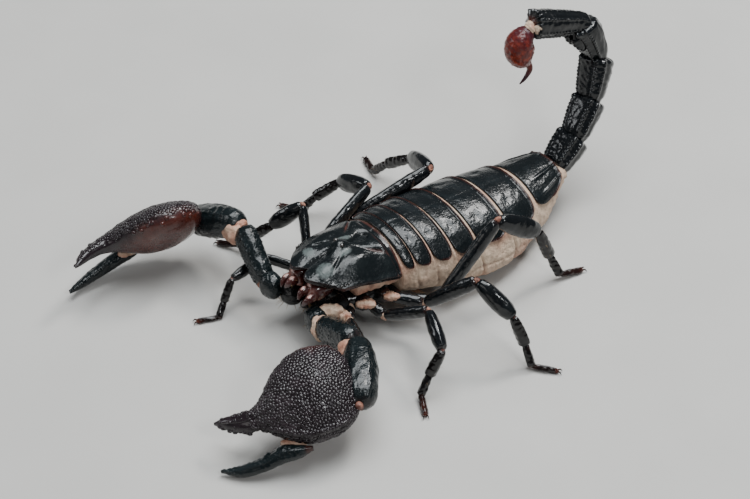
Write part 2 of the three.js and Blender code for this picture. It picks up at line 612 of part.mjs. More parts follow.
const grownThighs = LEG_POSES.map(makeLeg);

const clearCoxae = cutClear(coxae, ...grownThighs, ...grownTrochanters);
addPart(body, 'coxae', clearCoxae, SHELL, point(0, COXAE_REAR, 8));
chelicerae.forEach((jaw, i) => {
  const name = ['chelicera_left', 'chelicera_right'][i];
  addPart(body, name, cutClear(jaw, ...grownTrochanters), MOUTH_SHELL, point(0, COXAE_FRONT, 16));
});

export default scorpion;
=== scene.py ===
import bpy
import math
import numpy as np
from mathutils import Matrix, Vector


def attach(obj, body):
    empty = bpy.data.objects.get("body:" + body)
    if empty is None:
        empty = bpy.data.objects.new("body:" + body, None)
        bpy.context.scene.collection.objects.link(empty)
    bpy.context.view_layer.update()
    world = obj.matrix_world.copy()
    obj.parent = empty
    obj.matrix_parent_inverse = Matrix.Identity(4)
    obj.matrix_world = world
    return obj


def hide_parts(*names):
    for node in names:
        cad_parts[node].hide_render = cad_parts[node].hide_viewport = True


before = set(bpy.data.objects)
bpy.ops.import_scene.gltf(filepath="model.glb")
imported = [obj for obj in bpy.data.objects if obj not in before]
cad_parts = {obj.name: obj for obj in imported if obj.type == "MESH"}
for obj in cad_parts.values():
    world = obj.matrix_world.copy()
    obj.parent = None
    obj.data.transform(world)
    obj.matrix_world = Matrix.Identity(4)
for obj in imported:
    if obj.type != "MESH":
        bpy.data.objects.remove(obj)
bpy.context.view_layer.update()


# ------------------------------------------------------------------------------------------------
# Floor, light and camera. A pale matt board lies under the scorpion. One large soft box hangs over
# it, four smaller lamps light its edges, and the room is an even cool grey.
# The camera looks down on the left side of the head.

class Flow:
    """One socket of a finish, written in sums and products."""

    def __init__(self, finish, socket):
        self.finish = finish
        self.socket = socket

    def reckon(self, operation, *terms):
        return self.finish.add("Math", "Value", {"operation": operation}, *terms)

    def __add__(self, other):
        return self.reckon("ADD", self, other)

    def __sub__(self, other):
        return self.reckon("SUBTRACT", self, other)

    def __rsub__(self, other):
        return self.reckon("SUBTRACT", other, self)

    def __mul__(self, other):
        return self.reckon("MULTIPLY", self, other)

    __radd__ = __add__
    __rmul__ = __mul__

    def between(self, low, high):
        """0 below low and 1 above high, eased."""
        eased = {"interpolation_type": "SMOOTHSTEP"}
        return self.finish.add("MapRange", "Result", eased, self, low, high)


class Finish:
    """A material under construction."""

    def __init__(self, name, **shader):
        self.material = bpy.data.materials.new(name)
        self.material.use_nodes = True
        self.tree = self.material.node_tree
        self.shader = self.tree.nodes["Principled BSDF"]
        self.feed(**shader)

    def feed(self, **shader):
        """Sets the shader's sockets, spaces in their names written as underscores."""
        for name, value in shader.items():
            self.set(self.shader.inputs[name.replace("_", " ")], value)

    def set(self, socket, value):
        if isinstance(value, Flow):
            self.tree.links.new(value.socket, socket)
        elif isinstance(value, tuple) and len(value) == 3 and socket.type == "RGBA":
            socket.default_value = (*value, 1)
        else:
            socket.default_value = value

    def add(self, kind, output, settings, *values, **named):
        """Any node: its settings first, then values or flows into its sockets."""
        node = self.tree.nodes.new("ShaderNode" + kind)
        for key, setting in settings.items():
            setattr(node, key, setting)
        sockets = [s for s in node.inputs if s.enabled]
        for socket, value in zip(sockets, values):
            self.set(socket, value)
        for name, value in named.items():
            self.set(next(s for s in sockets if s.name == name), value)
        return Flow(self, next(s for s in node.outputs if s.enabled and s.name == output))

    def place(self):
        return self.add("TexCoord", "Object", {})

    def cloud(self, size, detail=3.0, rough=0.55):
        """Soft noise whose blotches are `size` millimetres across."""
        return self.add("TexNoise", "Fac", {}, Vector=self.place(), Scale=1000 / size,
                        Detail=detail, Roughness=rough)

    def cells(self, size, smooth):
        """Distance to the middle of rounded cells `size` millimetres across."""
        return self.add("TexVoronoi", "Distance", {"feature": "SMOOTH_F1"}, Vector=self.place(),
                        Scale=1000 / size, Smoothness=smooth)

    def mark(self, name):
        """A number painted on the piece's points."""
        return self.add("Attribute", "Fac", {"attribute_name": name})

    def blend(self, factor, first, second):
        return self.add("Mix", "Result", {"data_type": "RGBA"}, Factor=factor, A=first, B=second)

    def wear(self, height, strength, depth):
        """Relief `depth` millimetres deep on the shader's normal."""
        self.feed(Normal=self.add("Bump", "Normal", {}, Strength=strength, Distance=depth / 1000,
                                  Height=height))


def stand(name, data, spot=(0, 0, 0), facing=None):
    """Puts a thing in the room, its front turned along `facing`."""
    thing = bpy.data.objects.new(name, data)
    thing.location = spot
    if facing is not None:
        thing.rotation_mode = "QUATERNION"
        thing.rotation_quaternion = facing.to_track_quat("-Z", "Y")
    bpy.context.scene.collection.objects.link(thing)
    return thing


board = Finish("pale board", Roughness=0.75)
board.feed(Base_Color=board.blend(board.cloud(40), (0.43, 0.42, 0.40), (0.50, 0.488, 0.468)))
board.wear(board.cloud(1.5), strength=0.15, depth=0.05)
BOARD_HALF = 2                     # metres
board_corners = [(-BOARD_HALF, -BOARD_HALF, 0), (BOARD_HALF, -BOARD_HALF, 0),
                 (BOARD_HALF, BOARD_HALF, 0), (-BOARD_HALF, BOARD_HALF, 0)]
floor_mesh = bpy.data.meshes.new("floor")
floor_mesh.from_pydata(board_corners, [], [(0, 1, 2, 3)])
floor_mesh.materials.append(board.material)
stand("floor", floor_mesh)

VIEW_AZIMUTH = math.radians(51.73)
VIEW_ELEVATION = math.radians(42.17)
VIEW_TARGET = Vector((-0.00686, -0.00199, 0.008))
VIEW_DISTANCE = 0.5849
SENSOR_WIDTH = 36                  # millimetres
PICTURE_WIDTH = 750                # pixels
FOCAL_LENGTH = 2262.6              # pixels
towards_camera = Vector((math.sin(VIEW_AZIMUTH) * math.cos(VIEW_ELEVATION),
                         -math.cos(VIEW_AZIMUTH) * math.cos(VIEW_ELEVATION),
                         math.sin(VIEW_ELEVATION)))
lens = bpy.data.cameras.new("camera")
lens.sensor_width = SENSOR_WIDTH
lens.lens = SENSOR_WIDTH * FOCAL_LENGTH / PICTURE_WIDTH
lens.clip_start = 0.01
lens.clip_end = 20
camera_spot = VIEW_TARGET + towards_camera * VIEW_DISTANCE
bpy.context.scene.camera = stand("camera", lens, camera_spot, -towards_camera)

LAMPS = (("overhead soft box", (-0.04, 0.10, 0.78), 0.58, 9.5, (0.94, 0.98, 1.0)),
         ("rear soft box", (-0.06, 0.50, 0.70), 0.16, 3.6, (1.0, 0.99, 0.97)),
         ("side strip", (0.60, -0.05, 0.60), 0.13, 1.8, (0.97, 0.99, 1.0)),
         ("low front card", (-0.50, -0.58, 0.32), 0.24, 0.9, (0.95, 0.98, 1.0)),
         ("near fill", (0.25, -0.80, 0.50), 0.30, 0.5, (1.0, 0.97, 0.93)))
for name, spot, size, watts, colour in LAMPS:
    lamp = bpy.data.lights.new(name, "AREA")
    lamp.size = size
    lamp.energy = watts
    lamp.color = colour
    stand(name, lamp, spot, -Vector(spot))
room = bpy.data.worlds.new("room")
room.use_nodes = True
room_light = room.node_tree.nodes["Background"].inputs
room_light["Color"].default_value = (0.80, 0.84, 0.90, 1)
room_light["Strength"].default_value = 0.16
bpy.context.scene.world = room


# ------------------------------------------------------------------------------------------------
# Skin. One soft cream hide closes the trunk under the plates and fills every joint of the legs,
# claws and tail; in life it is a leathery membrane that folds where the hard parts move.

# Shapes are in millimetres from the floor under the middle of the head shield's rear edge, with the
# head towards -y. That point lies here, from the middle of the animal's box.
SHIELD_REAR = np.array([0.62, 7.03, 0.0])


def through(*stops):
    """A smooth curve through (position, value) stops, level beyond the ends."""
    at, value = np.array(stops, float).T
    if len(at) > 2:
        slope = np.gradient(value, at)
    else:
        slope = np.full(len(at), (value[-1] - value[0]) / (at[-1] - at[0]))

    def curve(x):
        x = np.clip(np.asarray(x, float), at[0], at[-1])
        i = np.clip(np.searchsorted(at, x, side="right") - 1, 0, len(at) - 2)
        span = at[i + 1] - at[i]
        t = (x - at[i]) / span
        return (value[i] * (1 - t) ** 2 * (1 + 2 * t) + value[i + 1] * t ** 2 * (3 - 2 * t)
                + slope[i] * span * t * (1 - t) ** 2 - slope[i + 1] * span * t ** 2 * (1 - t))
    return curve


def power(value, exponent):
    """A power that keeps the sign."""
    return np.sign(value) * np.abs(value) ** exponent


def crest(x, middle, width):
    """1 at the middle, gone about two widths away."""
    return np.exp(-((x - middle) / width) ** 2)


def ramp(x, start, rate):
    """0 up to the start, then rising at the rate as far as 1."""
    return np.clip((x - start) * rate, 0, 1)


def unit(v):
    v = np.asarray(v, float)
    return v / np.linalg.norm(v, axis=-1, keepdims=True)


def grid(rows, turns):
    """Every row with every turn; a whole number of turns is that many round a circle."""
    if isinstance(turns, int):
        turns = np.linspace(0, 2 * math.pi, turns, endpoint=False)
    return np.meshgrid(rows, turns, indexing="ij")


def ripple(points, wavelength, seed):
    """Smooth noise between about -1 and 1, `wavelength` millimetres long."""
    dice = np.random.default_rng(seed)
    total = np.zeros(points.shape[:-1])
    waves = 14
    for _ in range(waves):
        wave = unit(dice.normal(size=3)) * 2 * math.pi / (wavelength * dice.uniform(0.75, 1.35))
        total += np.sin(points @ wave + dice.uniform(0, 2 * math.pi))
    return total * math.sqrt(2 / waves) / 1.6


def outward(rings):
    """The surface normals of a tube of rings."""
    along = np.gradient(rings, axis=0)
    around = np.roll(rings, -1, axis=1) - np.roll(rings, 1, axis=1)
    normal = np.cross(along, around)
    normal /= np.linalg.norm(normal, axis=-1, keepdims=True) + 1e-12
    away = rings - rings.mean(axis=1, keepdims=True)
    return normal * np.where((normal * away).sum() < 0, -1, 1)


def emboss(rings, relief):
    """Raises the surface of a tube by `relief` millimetres."""
    return rings + outward(rings) * relief[..., None]


class Form:
    """Closed tubes gathered into one piece. Each tube is rows x sides points in millimetres."""

    def __init__(self):
        self.points = []
        self.faces = []
        self.marks = {}
        self.count = 0

    def tube(self, rings, **marks):
        """Adds a tube and closes its ends. A mark is a number painted on its points."""
        rows, sides = rings.shape[:2]
        ends = (rings[0].mean(0)[None], rings[-1].mean(0)[None])
        points = np.concatenate([rings.reshape(-1, 3), *ends])
        i, j = grid(np.arange(rows - 1), np.arange(sides))
        k = (j + 1) % sides
        quads = np.stack([i * sides + j, i * sides + k, (i + 1) * sides + k, (i + 1) * sides + j], -1)
        quads = quads.reshape(-1, 4)
        rim = np.arange(sides)
        beside = (rim + 1) % sides
        last_row = (rows - 1) * sides
        first = np.stack([np.full(sides, rows * sides), beside, rim], -1)
        last = np.stack([np.full(sides, rows * sides + 1), last_row + rim, last_row + beside], -1)
        corners = points[quads]
        across = np.cross(corners[:, 2] - corners[:, 0], corners[:, 3] - corners[:, 1])
        if (across * (corners.mean(1) - points.mean(0))).sum() < 0:
            quads, first, last = quads[:, ::-1], first[:, ::-1], last[:, ::-1]
        for part in (quads, first, last):
            self.faces += [tuple(face) for face in (part + self.count).tolist()]
        self.points.append(points)
        for name in sorted(set(self.marks) | set(marks)):
            full = np.broadcast_to(np.asarray(marks.get(name, 0.0), float), (rows, sides))
            column = np.concatenate([full.reshape(-1), [full[0].mean(), full[-1].mean()]])
            earlier = [np.zeros(self.count)] if self.count else []
            self.marks.setdefault(name, earlier).append(column)
        self.count += len(points)
        return self

    def piece(self, name, finish):
        """Makes the tubes one object, in metres from the middle of the animal's box."""
        mesh = bpy.data.meshes.new(name)
        metres = (np.concatenate(self.points) - SHIELD_REAR) / 1000
        mesh.from_pydata(metres.tolist(), [], self.faces)
        mesh.shade_smooth()
        for mark, columns in self.marks.items():
            painted = np.concatenate(columns).astype(np.float32)
            mesh.attributes.new(mark, "FLOAT", "POINT").data.foreach_set("value", painted)
        mesh.materials.append(finish.material)
        return stand(name, mesh)


def fit(made, slot, *nodes):
    """Fixes a finished piece to the animal, in place of its plain solids."""
    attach(made, "root")
    if nodes:
        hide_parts(*nodes)


back_height = through((0, 22.3), (8.4, 21.7), (14.6, 20.9), (21.9, 20), (32.6, 18.9), (43.9, 17.6),
                      (52, 16.9), (57.4, 16.5), (60.4, 15.4))
belly_height = through((-0.5, 6), (4, 4.2), (10, 2.9), (20, 2), (30, 1.8), (40, 1.9), (48, 2.9),
                       (54, 5.8), (58, 8.6), (60.4, 10.4))
trunk_half = through((-0.5, 11.4), (5, 12.7), (14, 13.9), (24, 14.1), (34, 13.4), (44, 11.3),
                     (51, 8.9), (56, 6.7), (60.4, 4.8))
waist_height = through((-0.5, 12.5), (12, 10.4), (30, 8.6), (45, 8), (53, 9.4), (60.4, 12.2))
trunk_sway = through((0, 0), (15, 0.5), (25, 0.8), (45, 1.3), (60.4, 1))
flank_sag = through((12, 0), (20, 1.2), (26, 2.3), (34, 2.2), (41, 0.9), (48, 0))
TRUNK_START = 0.15
TRUNK_LENGTH = 60.25
PLATE = 0.8                        # thickness of the back plates
CLEARANCE = 0.3
# the back plates end at these places; each shows a band of bare skin in front of it
PLATE_EDGES = (0.6, 3.4, 8.4, 14.6, 21.9, 32.6, 43.9, 57.4)
BANDS = (0.5, 0.8, 1.0, 1.1, 1.3, 1.6, 1.9)


def trunk_point(y, turn, grow):
    """A point of the trunk, `turn` radians from the middle of the back, moved out by `grow`."""
    y, turn, grow = np.broadcast_arrays(y, turn, grow)
    waist = waist_height(y)
    above = np.cos(turn) > 0
    rise = np.where(above, back_height(y) - PLATE - CLEARANCE - waist, waist - belly_height(y))
    sag = np.where(above, 0, flank_sag(y) * np.abs(np.sin(2 * turn)))
    half = power(np.sin(turn), np.where(above, 1, 0.8)) * (trunk_half(y) + grow)
    x = half + np.sign(np.sin(turn)) * sag
    z = waist + power(np.cos(turn), np.where(above, 1, 0.85)) * (rise + grow) - sag / 4
    return np.stack([trunk_sway(y) + x, y, z], -1)


shield_half = through((-24, 6.6), (-20, 8.9), (-12, 10.9), (-5, 12.1), (-1.5, 12.4), (0, 11.6))
shield_middle = through((-24, 21.2), (-20.5, 21.6), (-13, 23), (-7, 22.6), (0, 22.2))
shield_drop = through((-24, 1.5), (-20, 2.7), (-12, 4.4), (-5, 5.3), (0, 6.3))


def shield_arch(x, y):
    """Height of the head shield's top."""
    fall = np.minimum(np.abs(x) / shield_half(y), 1) ** 2.3
    return shield_middle(y) - shield_drop(y) * fall


skin = Form()
# the hide of the trunk, folded along its flanks, creased behind each plate and full between them
y, turn = grid(TRUNK_START + TRUNK_LENGTH * np.linspace(0, 1, 190), 150)
from_top = np.abs(np.angle(np.exp(1j * turn)))
flank = crest(from_top, 1.75, 0.48)
hide = trunk_point(y, turn, 0)
folds = 0.10 * np.sin(2 * math.pi * (y / 1.5 + 0.5 * ripple(hide, 5, 1)))
folds = folds + 0.10 * ripple(hide, 1.6, 2) + 0.26 * ripple(hide, 6, 3)
wander = 0.5 * ripple(hide, 7, 8)
crease = sum(crest(y - edge - 1.3 - wander, 0, 0.42) for edge in PLATE_EDGES[1:7])
fold_line = crest(from_top - 1.72 - 0.05 * ripple(hide, 9, 9), 0, 0.035)
fold_line = fold_line * through((2, 0), (8, 1), (44, 1), (54, 0))(y)
fullness = 0.70 * through((0, 0), (10, 1), (45, 1), (58, 0))(y)
bare = sum(crest(y - edge - band / 2, 0, 0.42 * band) for edge, band in zip(PLATE_EDGES[1:7], BANDS[1:]))
bare = bare * ramp(1.35 - from_top, 0, 4)
hide = emboss(hide, flank * (folds - 0.85 * crease - 0.18 * fold_line + fullness) + 0.85 * bare)
# painted shade darkens the creases behind the plates and the fold lines along the flanks
skin.tube(hide, tone=0.28 + 0.26 * ripple(hide, 9, 4),
          fold=np.clip(flank * (0.75 * crease + 0.3 * fold_line), 0, 1))

# the cheeks, under the head shield
CHEEK_FLOOR = 12.6
CHEEK_MIDDLE = 14.6
y, turn = grid(np.linspace(-12.8, 0.6, 70), 90)
half = shield_half(y) - 0.9 - 0.5 * np.clip(-y / 12, 0, 1)
x = power(np.sin(turn), 0.55) * half
upright = np.abs(np.cos(turn))
over = CHEEK_MIDDLE + (shield_arch(x, y) - 1.35 - CHEEK_MIDDLE) * upright ** 0.4
beneath = CHEEK_MIDDLE - (CHEEK_MIDDLE - CHEEK_FLOOR) * upright ** 0.5
cheek = np.stack([x, y, np.where(np.cos(turn) > 0, over, beneath)], -1)
wrinkles = 0.12 * ripple(cheek, 1.6, 5) + 0.1 * ripple(cheek, 4, 6)
cheek = emboss(cheek, wrinkles * (np.abs(x) > half * 0.8))
# patchy painted shade over the cheeks, which lie under the shield
skin.tube(cheek, tone=0.5 + 0.25 * ripple(cheek, 5, 7),
          fold=np.clip(0.25 + 0.5 * ripple(cheek, 2.6, 10), 0, 1))


def knot(centre, axis, length, tall, wide, tone, seed, up=(0, 0, 1), rows=22, sides=28):
    """A folded cuff of skin in a joint, its length along `axis`. A higher tone is redder, then darker."""
    axis = unit(axis)
    tall_way = unit(np.asarray(up, float) - axis * np.dot(up, axis))
    side_way = np.cross(tall_way, axis)
    s, turn = grid(np.linspace(-0.985, 0.985, rows), sides)
    belly = np.sqrt(1 - s ** 2) ** 0.75 * (1 + 0.05 * np.cos(s * 15))
    aside = (belly * np.cos(turn) * wide / 2)[..., None] * side_way
    raised = (belly * np.sin(turn) * tall / 2)[..., None] * tall_way
    rings = np.asarray(centre, float) + s[..., None] * axis * length / 2 + aside + raised
    small = min(tall, wide)
    rings = emboss(rings, 0.05 * small * ripple(rings, 0.4 * small, seed))
    # painted shade in the narrow valleys between the cuff's folds
    skin.tube(rings, tone=tone + 0.25 * ripple(rings, 2.5, seed + 50),
              fold=np.clip(0.3 * np.cos(s * 15 + 3.1), 0, 1))


# ------------------------------------------------------------------------------------------------
# Tergites. Seven overlapping plates of hard glossy shell cover the back; each grows from the skin
# along its front edge, and its thicker maroon rear border stands proud of the next.

def cuticle(name, dark, warm, sheen, rough, pits, warmth=0.3, gloss=0.2, pale=(0.078, 0.094, 0.092)):
    """Hard shell: dark and glossy, warmer along its edges, with painted sheen in random patches and pale
    painted highlights where they are marked.
    """
    shell = Finish(name, Coat_Roughness=0.05, Specular_IOR_Level=0.32)
    reddening = warmth * shell.cloud(7).between(0.5, 0.8)
    warm_edge = (shell.mark("edge") * (0.5 + 0.7 * shell.cloud(1.6)) + reddening).between(0.25, 1.15)
    # painted sheen: in random patches the dark colour is blended towards the sheen colour
    painted_sheen = shell.cloud(4, 4).between(0.45, 0.75) * 0.5
    colour = shell.blend(warm_edge, shell.blend(painted_sheen, dark, sheen), warm)
    # painted highlights: pale speckled patches, also rougher, where the piece is marked for them
    speckle = 0.05 + 1.8 * shell.cloud(0.5, 7, 0.8)
    chalk = (shell.mark("chalk") * speckle).between(0.55, 0.95)
    rubbed = 0.10 * shell.cloud(0.8, 4).between(0.35, 0.75)
    dull = 0.08 * shell.cloud(5).between(0.4, 0.7)
    shell.feed(Base_Color=shell.blend(chalk, colour, pale),
               Roughness=rough + rubbed + dull + 0.25 * chalk,
               Coat_Weight=gloss - 0.75 * gloss * shell.cloud(3, 3).between(0.45, 0.7))
    grain = shell.cells(0.62, 0.4) * 0.8 + shell.cloud(0.45, 3) * 0.6 + shell.cloud(1.9, 2) * 0.5
    shell.wear(grain, strength=pits, depth=0.16)
    return shell


def plate_grid(top, lip, under, across, spread):
    """A plate's rows from front to rear, round the border and back beneath, with its points across.

    Gives each point's place across (-1 to 1) and along (0 to 1), 1 on top and 0 beneath, and how far
    it bulges out over the border."""
    along = np.concatenate([np.linspace(0, 1, top), np.ones(lip), np.linspace(1, 0, under), np.zeros(3)])
    round_lip = np.linspace(0, 1, lip + 2)[1:-1]
    round_front = np.linspace(0, 1, 5)[1:-1]
    height = np.concatenate([np.ones(top), 1 - round_lip, np.zeros(under), round_front])
    bulge = np.concatenate([np.zeros(top), np.sin(math.pi * round_lip),
                            np.zeros(under), -np.sin(math.pi * round_front)])
    u, v = grid(np.sin(np.linspace(-1, 1, across) * math.pi / 2 * spread), along)
    return u, v, np.broadcast_to(height, u.shape), np.broadcast_to(bulge, u.shape)


shell = cuticle("blue-black shell", dark=(0.004, 0.006, 0.007), warm=(0.045, 0.012, 0.008),
                sheen=(0.012, 0.017, 0.020), rough=0.20, pits=0.50)
REACH = math.radians(66)           # how far each plate comes down the sides
LAST_PLATE = 6
for i, band in enumerate(BANDS):
    front = PLATE_EDGES[i] + band
    long = PLATE_EDGES[i + 1] - front
    u, v, h, b = plate_grid(top=44, lip=5, under=14, across=170, spread=0.985)
    off = np.abs(u)
    inset = 0.5 * (1 - np.sqrt(np.clip(1 - off ** 9, 0, 1))) * long * 0.96
    y = front + inset + v * (long - 2 * inset) + 0.25 * b * np.clip(1 - inset / long * 2, 0, 1)
    lip = 0.30 * crest(v, 1, 0.05) - 0.16 * crest(v, 0.90, 0.035) + 0.22 * v
    swell = 0.20 * np.sin(math.pi * np.clip(v / 0.9, 0, 1)) * (1 - off ** 4)
    dents = -0.22 * crest(off, 0.42, 0.10) * crest(v, 0.35, 0.16)
    keels = -0.10 * crest(u, 0, 0.03)
    if i == LAST_PLATE:
        keels = 0.30 * crest(off, 0.34, 0.035) * through((0.2, 0), (0.5, 1), (1, 1))(v)
        keels = keels + 0.30 * crest(off, 0.72, 0.035) * through((0.1, 0), (0.4, 1), (1, 1))(v)
    sheet = trunk_point(y, u * REACH, CLEARANCE + h * (PLATE + lip + swell + dents + keels) - 0.05)
    uneven = 0.045 * ripple(sheet, 3.1, 20 + i) + 0.012 * ripple(sheet, 1.1, 40 + i)
    sheet[..., 2] += h * uneven
    edge = np.clip(crest(v, 1, 0.07) + crest(off, 1, 0.05), 0, 1)
    plate = Form().tube(sheet, edge=edge)
    fit(plate.piece(f"tergite_{i + 1}_shell", shell), "shell", f"tergite_{i + 1}")


# ------------------------------------------------------------------------------------------------
# Head shield. One hard plate with two rounded front lobes, a furrow down the middle and a low hill
# that carries the two main eyes; a row of three small eyes sits at each front corner.

shield_finish = cuticle("head shield shell", dark=(0.004, 0.006, 0.007), warm=(0.095, 0.034, 0.026),
                        sheen=(0.012, 0.016, 0.017), rough=0.17, pits=0.42)
u, v, h, b = plate_grid(top=120, lip=5, under=40, across=180, spread=0.992)
lobe = np.clip(np.sin(math.pi * np.minimum(np.abs(u) * 1.15, 1)), 0, 1) ** 0.7
front = -20.5 - 3.4 * lobe + 3.2 * np.abs(u) ** 6
y = front * v - 0.9 * np.abs(u) ** 8 * (1 - v) - 0.3 * b
x = u * shield_half(y)
off = np.abs(x)
border = 1 - np.abs(u)
top = shield_arch(x, y)
hill = 1.5 * crest(x, 0, 1.8) * crest(y, -11, 2.7)
furrow_depth = through((-24, 1), (-14, 1), (-12.2, 0.2), (-9.8, 0.2), (-8, 1), (-3.5, 1), (-2, 0.2))(y)
furrow = -0.85 * np.exp(-(off / 0.75) ** 1.5) * furrow_depth
pit = -1.1 * crest(x, 0, 1.5) * crest(y, -4.2, 1.6)
lobes = crest(off, 4.4, 2.6) * crest(y, -19, 3.2)
cheeks = 0.95 * crest(off, 6.2, 2.6) * crest(y, -10, 4.6)
cheeks = cheeks + 0.75 * crest(off, 6.0, 3.2) * crest(y, -2.6, 1.8)
slant = off - (3.2 + 0.85 * (y + 7.5))
groove = -0.65 * crest(slant, 0, 0.6) * crest(y, -4.5, 2.6)
groove = groove - 0.5 * crest(off, 2.6 - 0.55 * (y + 12), 0.5) * crest(y, -15, 2.4)
rim = -0.18 * np.exp(-2.5 * (border / 0.07 - 1) ** 2)
rear = 0.20 * crest(v, 0, 0.012) - 0.30 * crest(v, 0.05, 0.02)
top = top + h * (hill + furrow + pit + lobes + cheeks + groove + rim + rear)
sheet = np.stack([x, y, top - (1 - h)], -1)
sheet[..., 2] += h * (0.055 * ripple(sheet, 3.2, 60) + 0.012 * ripple(sheet, 1.2, 61))
fine_ridges = 0.06 * np.sin(slant * 9 + ripple(sheet, 3, 62))
fine_ridges = fine_ridges * crest(slant, -0.6, 1.8) * crest(y, -4.5, 2.8)
sheet[..., 2] += h * fine_ridges
edge = 0.4 * crest(border, 0, 0.025) + 0.9 * crest(v, 0, 0.03) + 0.5 * crest(v, 1, 0.015)
edge = np.clip(edge, 0, 1)
edge = edge + 0.9 * crest(slant, 0, 0.7) * crest(y, -4.5, 2.8) + 0.5 * crest(v, 0.085, 0.012)
# pale painted highlight patches on the lobes and beside the eyes: middle across, middle along, half width,
# half length
PATCHES = ((4.3, -19.0, 2.9, 3.0), (-3.2, -18.4, 2.3, 1.9), (2.9, -11.6, 1.3, 2.6), (-1.6, -8.6, 1.1, 2.6))
chalk = sum(np.exp(-(((x - middle_x) / wide) ** 2 + ((y - middle_y) / long) ** 2) ** 2)
            for middle_x, middle_y, wide, long in PATCHES)
shield = Form().tube(sheet, edge=np.clip(edge, 0, 1), chalk=chalk * h)
fit(shield.piece("head_shield", shield_finish), "shell", "carapace")

eye_finish = Finish("eye lens", Coat_Roughness=0.02, Specular_IOR_Level=0.8, Coat_Weight=1.0)
eye_colour = eye_finish.blend(eye_finish.cloud(0.4), (0.004, 0.004, 0.004), (0.02, 0.012, 0.008))
eye_finish.feed(Base_Color=eye_colour, Roughness=0.04 + 0.03 * eye_finish.cloud(0.3))


def bead(centre, radius):
    """A ball of rings."""
    s, turn = grid(np.linspace(0.06, math.pi - 0.06, 16), 24)
    ball = np.stack([np.sin(s) * np.cos(turn), np.sin(s) * np.sin(turn), np.cos(s)], -1)
    return np.asarray(centre, float) + radius * ball


EYE_ASIDE = 1.25
EYE_Y = -11.4
for side, name in ((1, "eye_left"), (-1, "eye_right")):
    hilltop = 1.4 * math.exp(-(EYE_ASIDE / 1.7) ** 2 - (0.4 / 2.7) ** 2)
    eye_height = float(shield_arch(EYE_ASIDE, EYE_Y)) + hilltop + 0.1
    eye = Form().tube(bead((side * EYE_ASIDE, EYE_Y, eye_height), 0.58))
    fit(eye.piece(f"{name}_lens", eye_finish), "eye", name)
corner_eyes = Form()
for side in (1, -1):
    for step in range(3):
        y = -17.6 + 0.95 * step
        x = side * (float(shield_half(y)) - 0.55)
        corner_eyes.tube(bead((x, y, float(shield_arch(x, y)) + 0.05), 0.36 - 0.04 * step))
fit(corner_eyes.piece("corner_eyes", eye_finish), "eye")


# ------------------------------------------------------------------------------------------------
# Underside of the head. The bases of the legs and claws meet under the shield as hard dark lobes
# round a small breastplate; the front pair carry stiff yellowish bristles beside the mouth.

def sweep(path, stops, up=(0, 0, 1), size=(1, 1), rows=60, sides=48, boxy=0.9, head=0.1, tail=0.1,
          lift=lambda place: 0 * place):
    """A tube along a path, its stops (place from 0 to 1, depth, width) in parts of `size`.

    The lower boxy is, the squarer the tube; head and tail are the lengths of its rounded ends.
    Gives the rings, and each point's place and its turn: 90 degrees is up, 0 and 180 the sides."""
    path = np.array(path, float)
    run = np.concatenate([[0], np.cumsum(np.linalg.norm(np.diff(path, axis=0), axis=1))])
    place = 0.5 - 0.5 * np.cos(math.pi * np.linspace(0.02, 0.98, rows))
    place = 0.6 * place + 0.4 * np.linspace(0.001, 0.999, rows)
    centre = np.stack([through(*zip(run / run[-1], path[:, k]))(place) for k in range(3)], -1)
    axis = unit(np.gradient(centre, axis=0))
    tall = unit(np.asarray(up, float) - axis * (axis @ np.asarray(up, float))[:, None])
    across = np.cross(tall, axis)
    stops = np.array(stops, float) * (1, *size)
    cap = np.sqrt(np.clip(1 - (np.clip(head - place, 0, head) / head) ** 2, 0.0025, 1))
    cap = cap * np.sqrt(np.clip(1 - (np.clip(place - 1 + tail, 0, tail) / tail) ** 2, 0.0025, 1))
    depth = through(*stops[:, [0, 1]])(place) / 2 * cap
    width = through(*stops[:, [0, 2]])(place) / 2 * cap
    centre = centre + lift(place)[:, None] * tall
    place, turn = grid(place, sides)
    aside = (power(np.cos(turn), boxy) * width[:, None])[..., None] * across[:, None]
    raised = (power(np.sin(turn), boxy) * depth[:, None])[..., None] * tall[:, None]
    return centre[:, None] - aside + raised, place, turn


def keel(turn, angle, width):
    """1 on a line `angle` degrees round a tube, gone about two widths away."""
    off = np.angle(np.exp(1j * (turn - math.radians(angle))))
    return np.exp(-(off / math.radians(width)) ** 2)


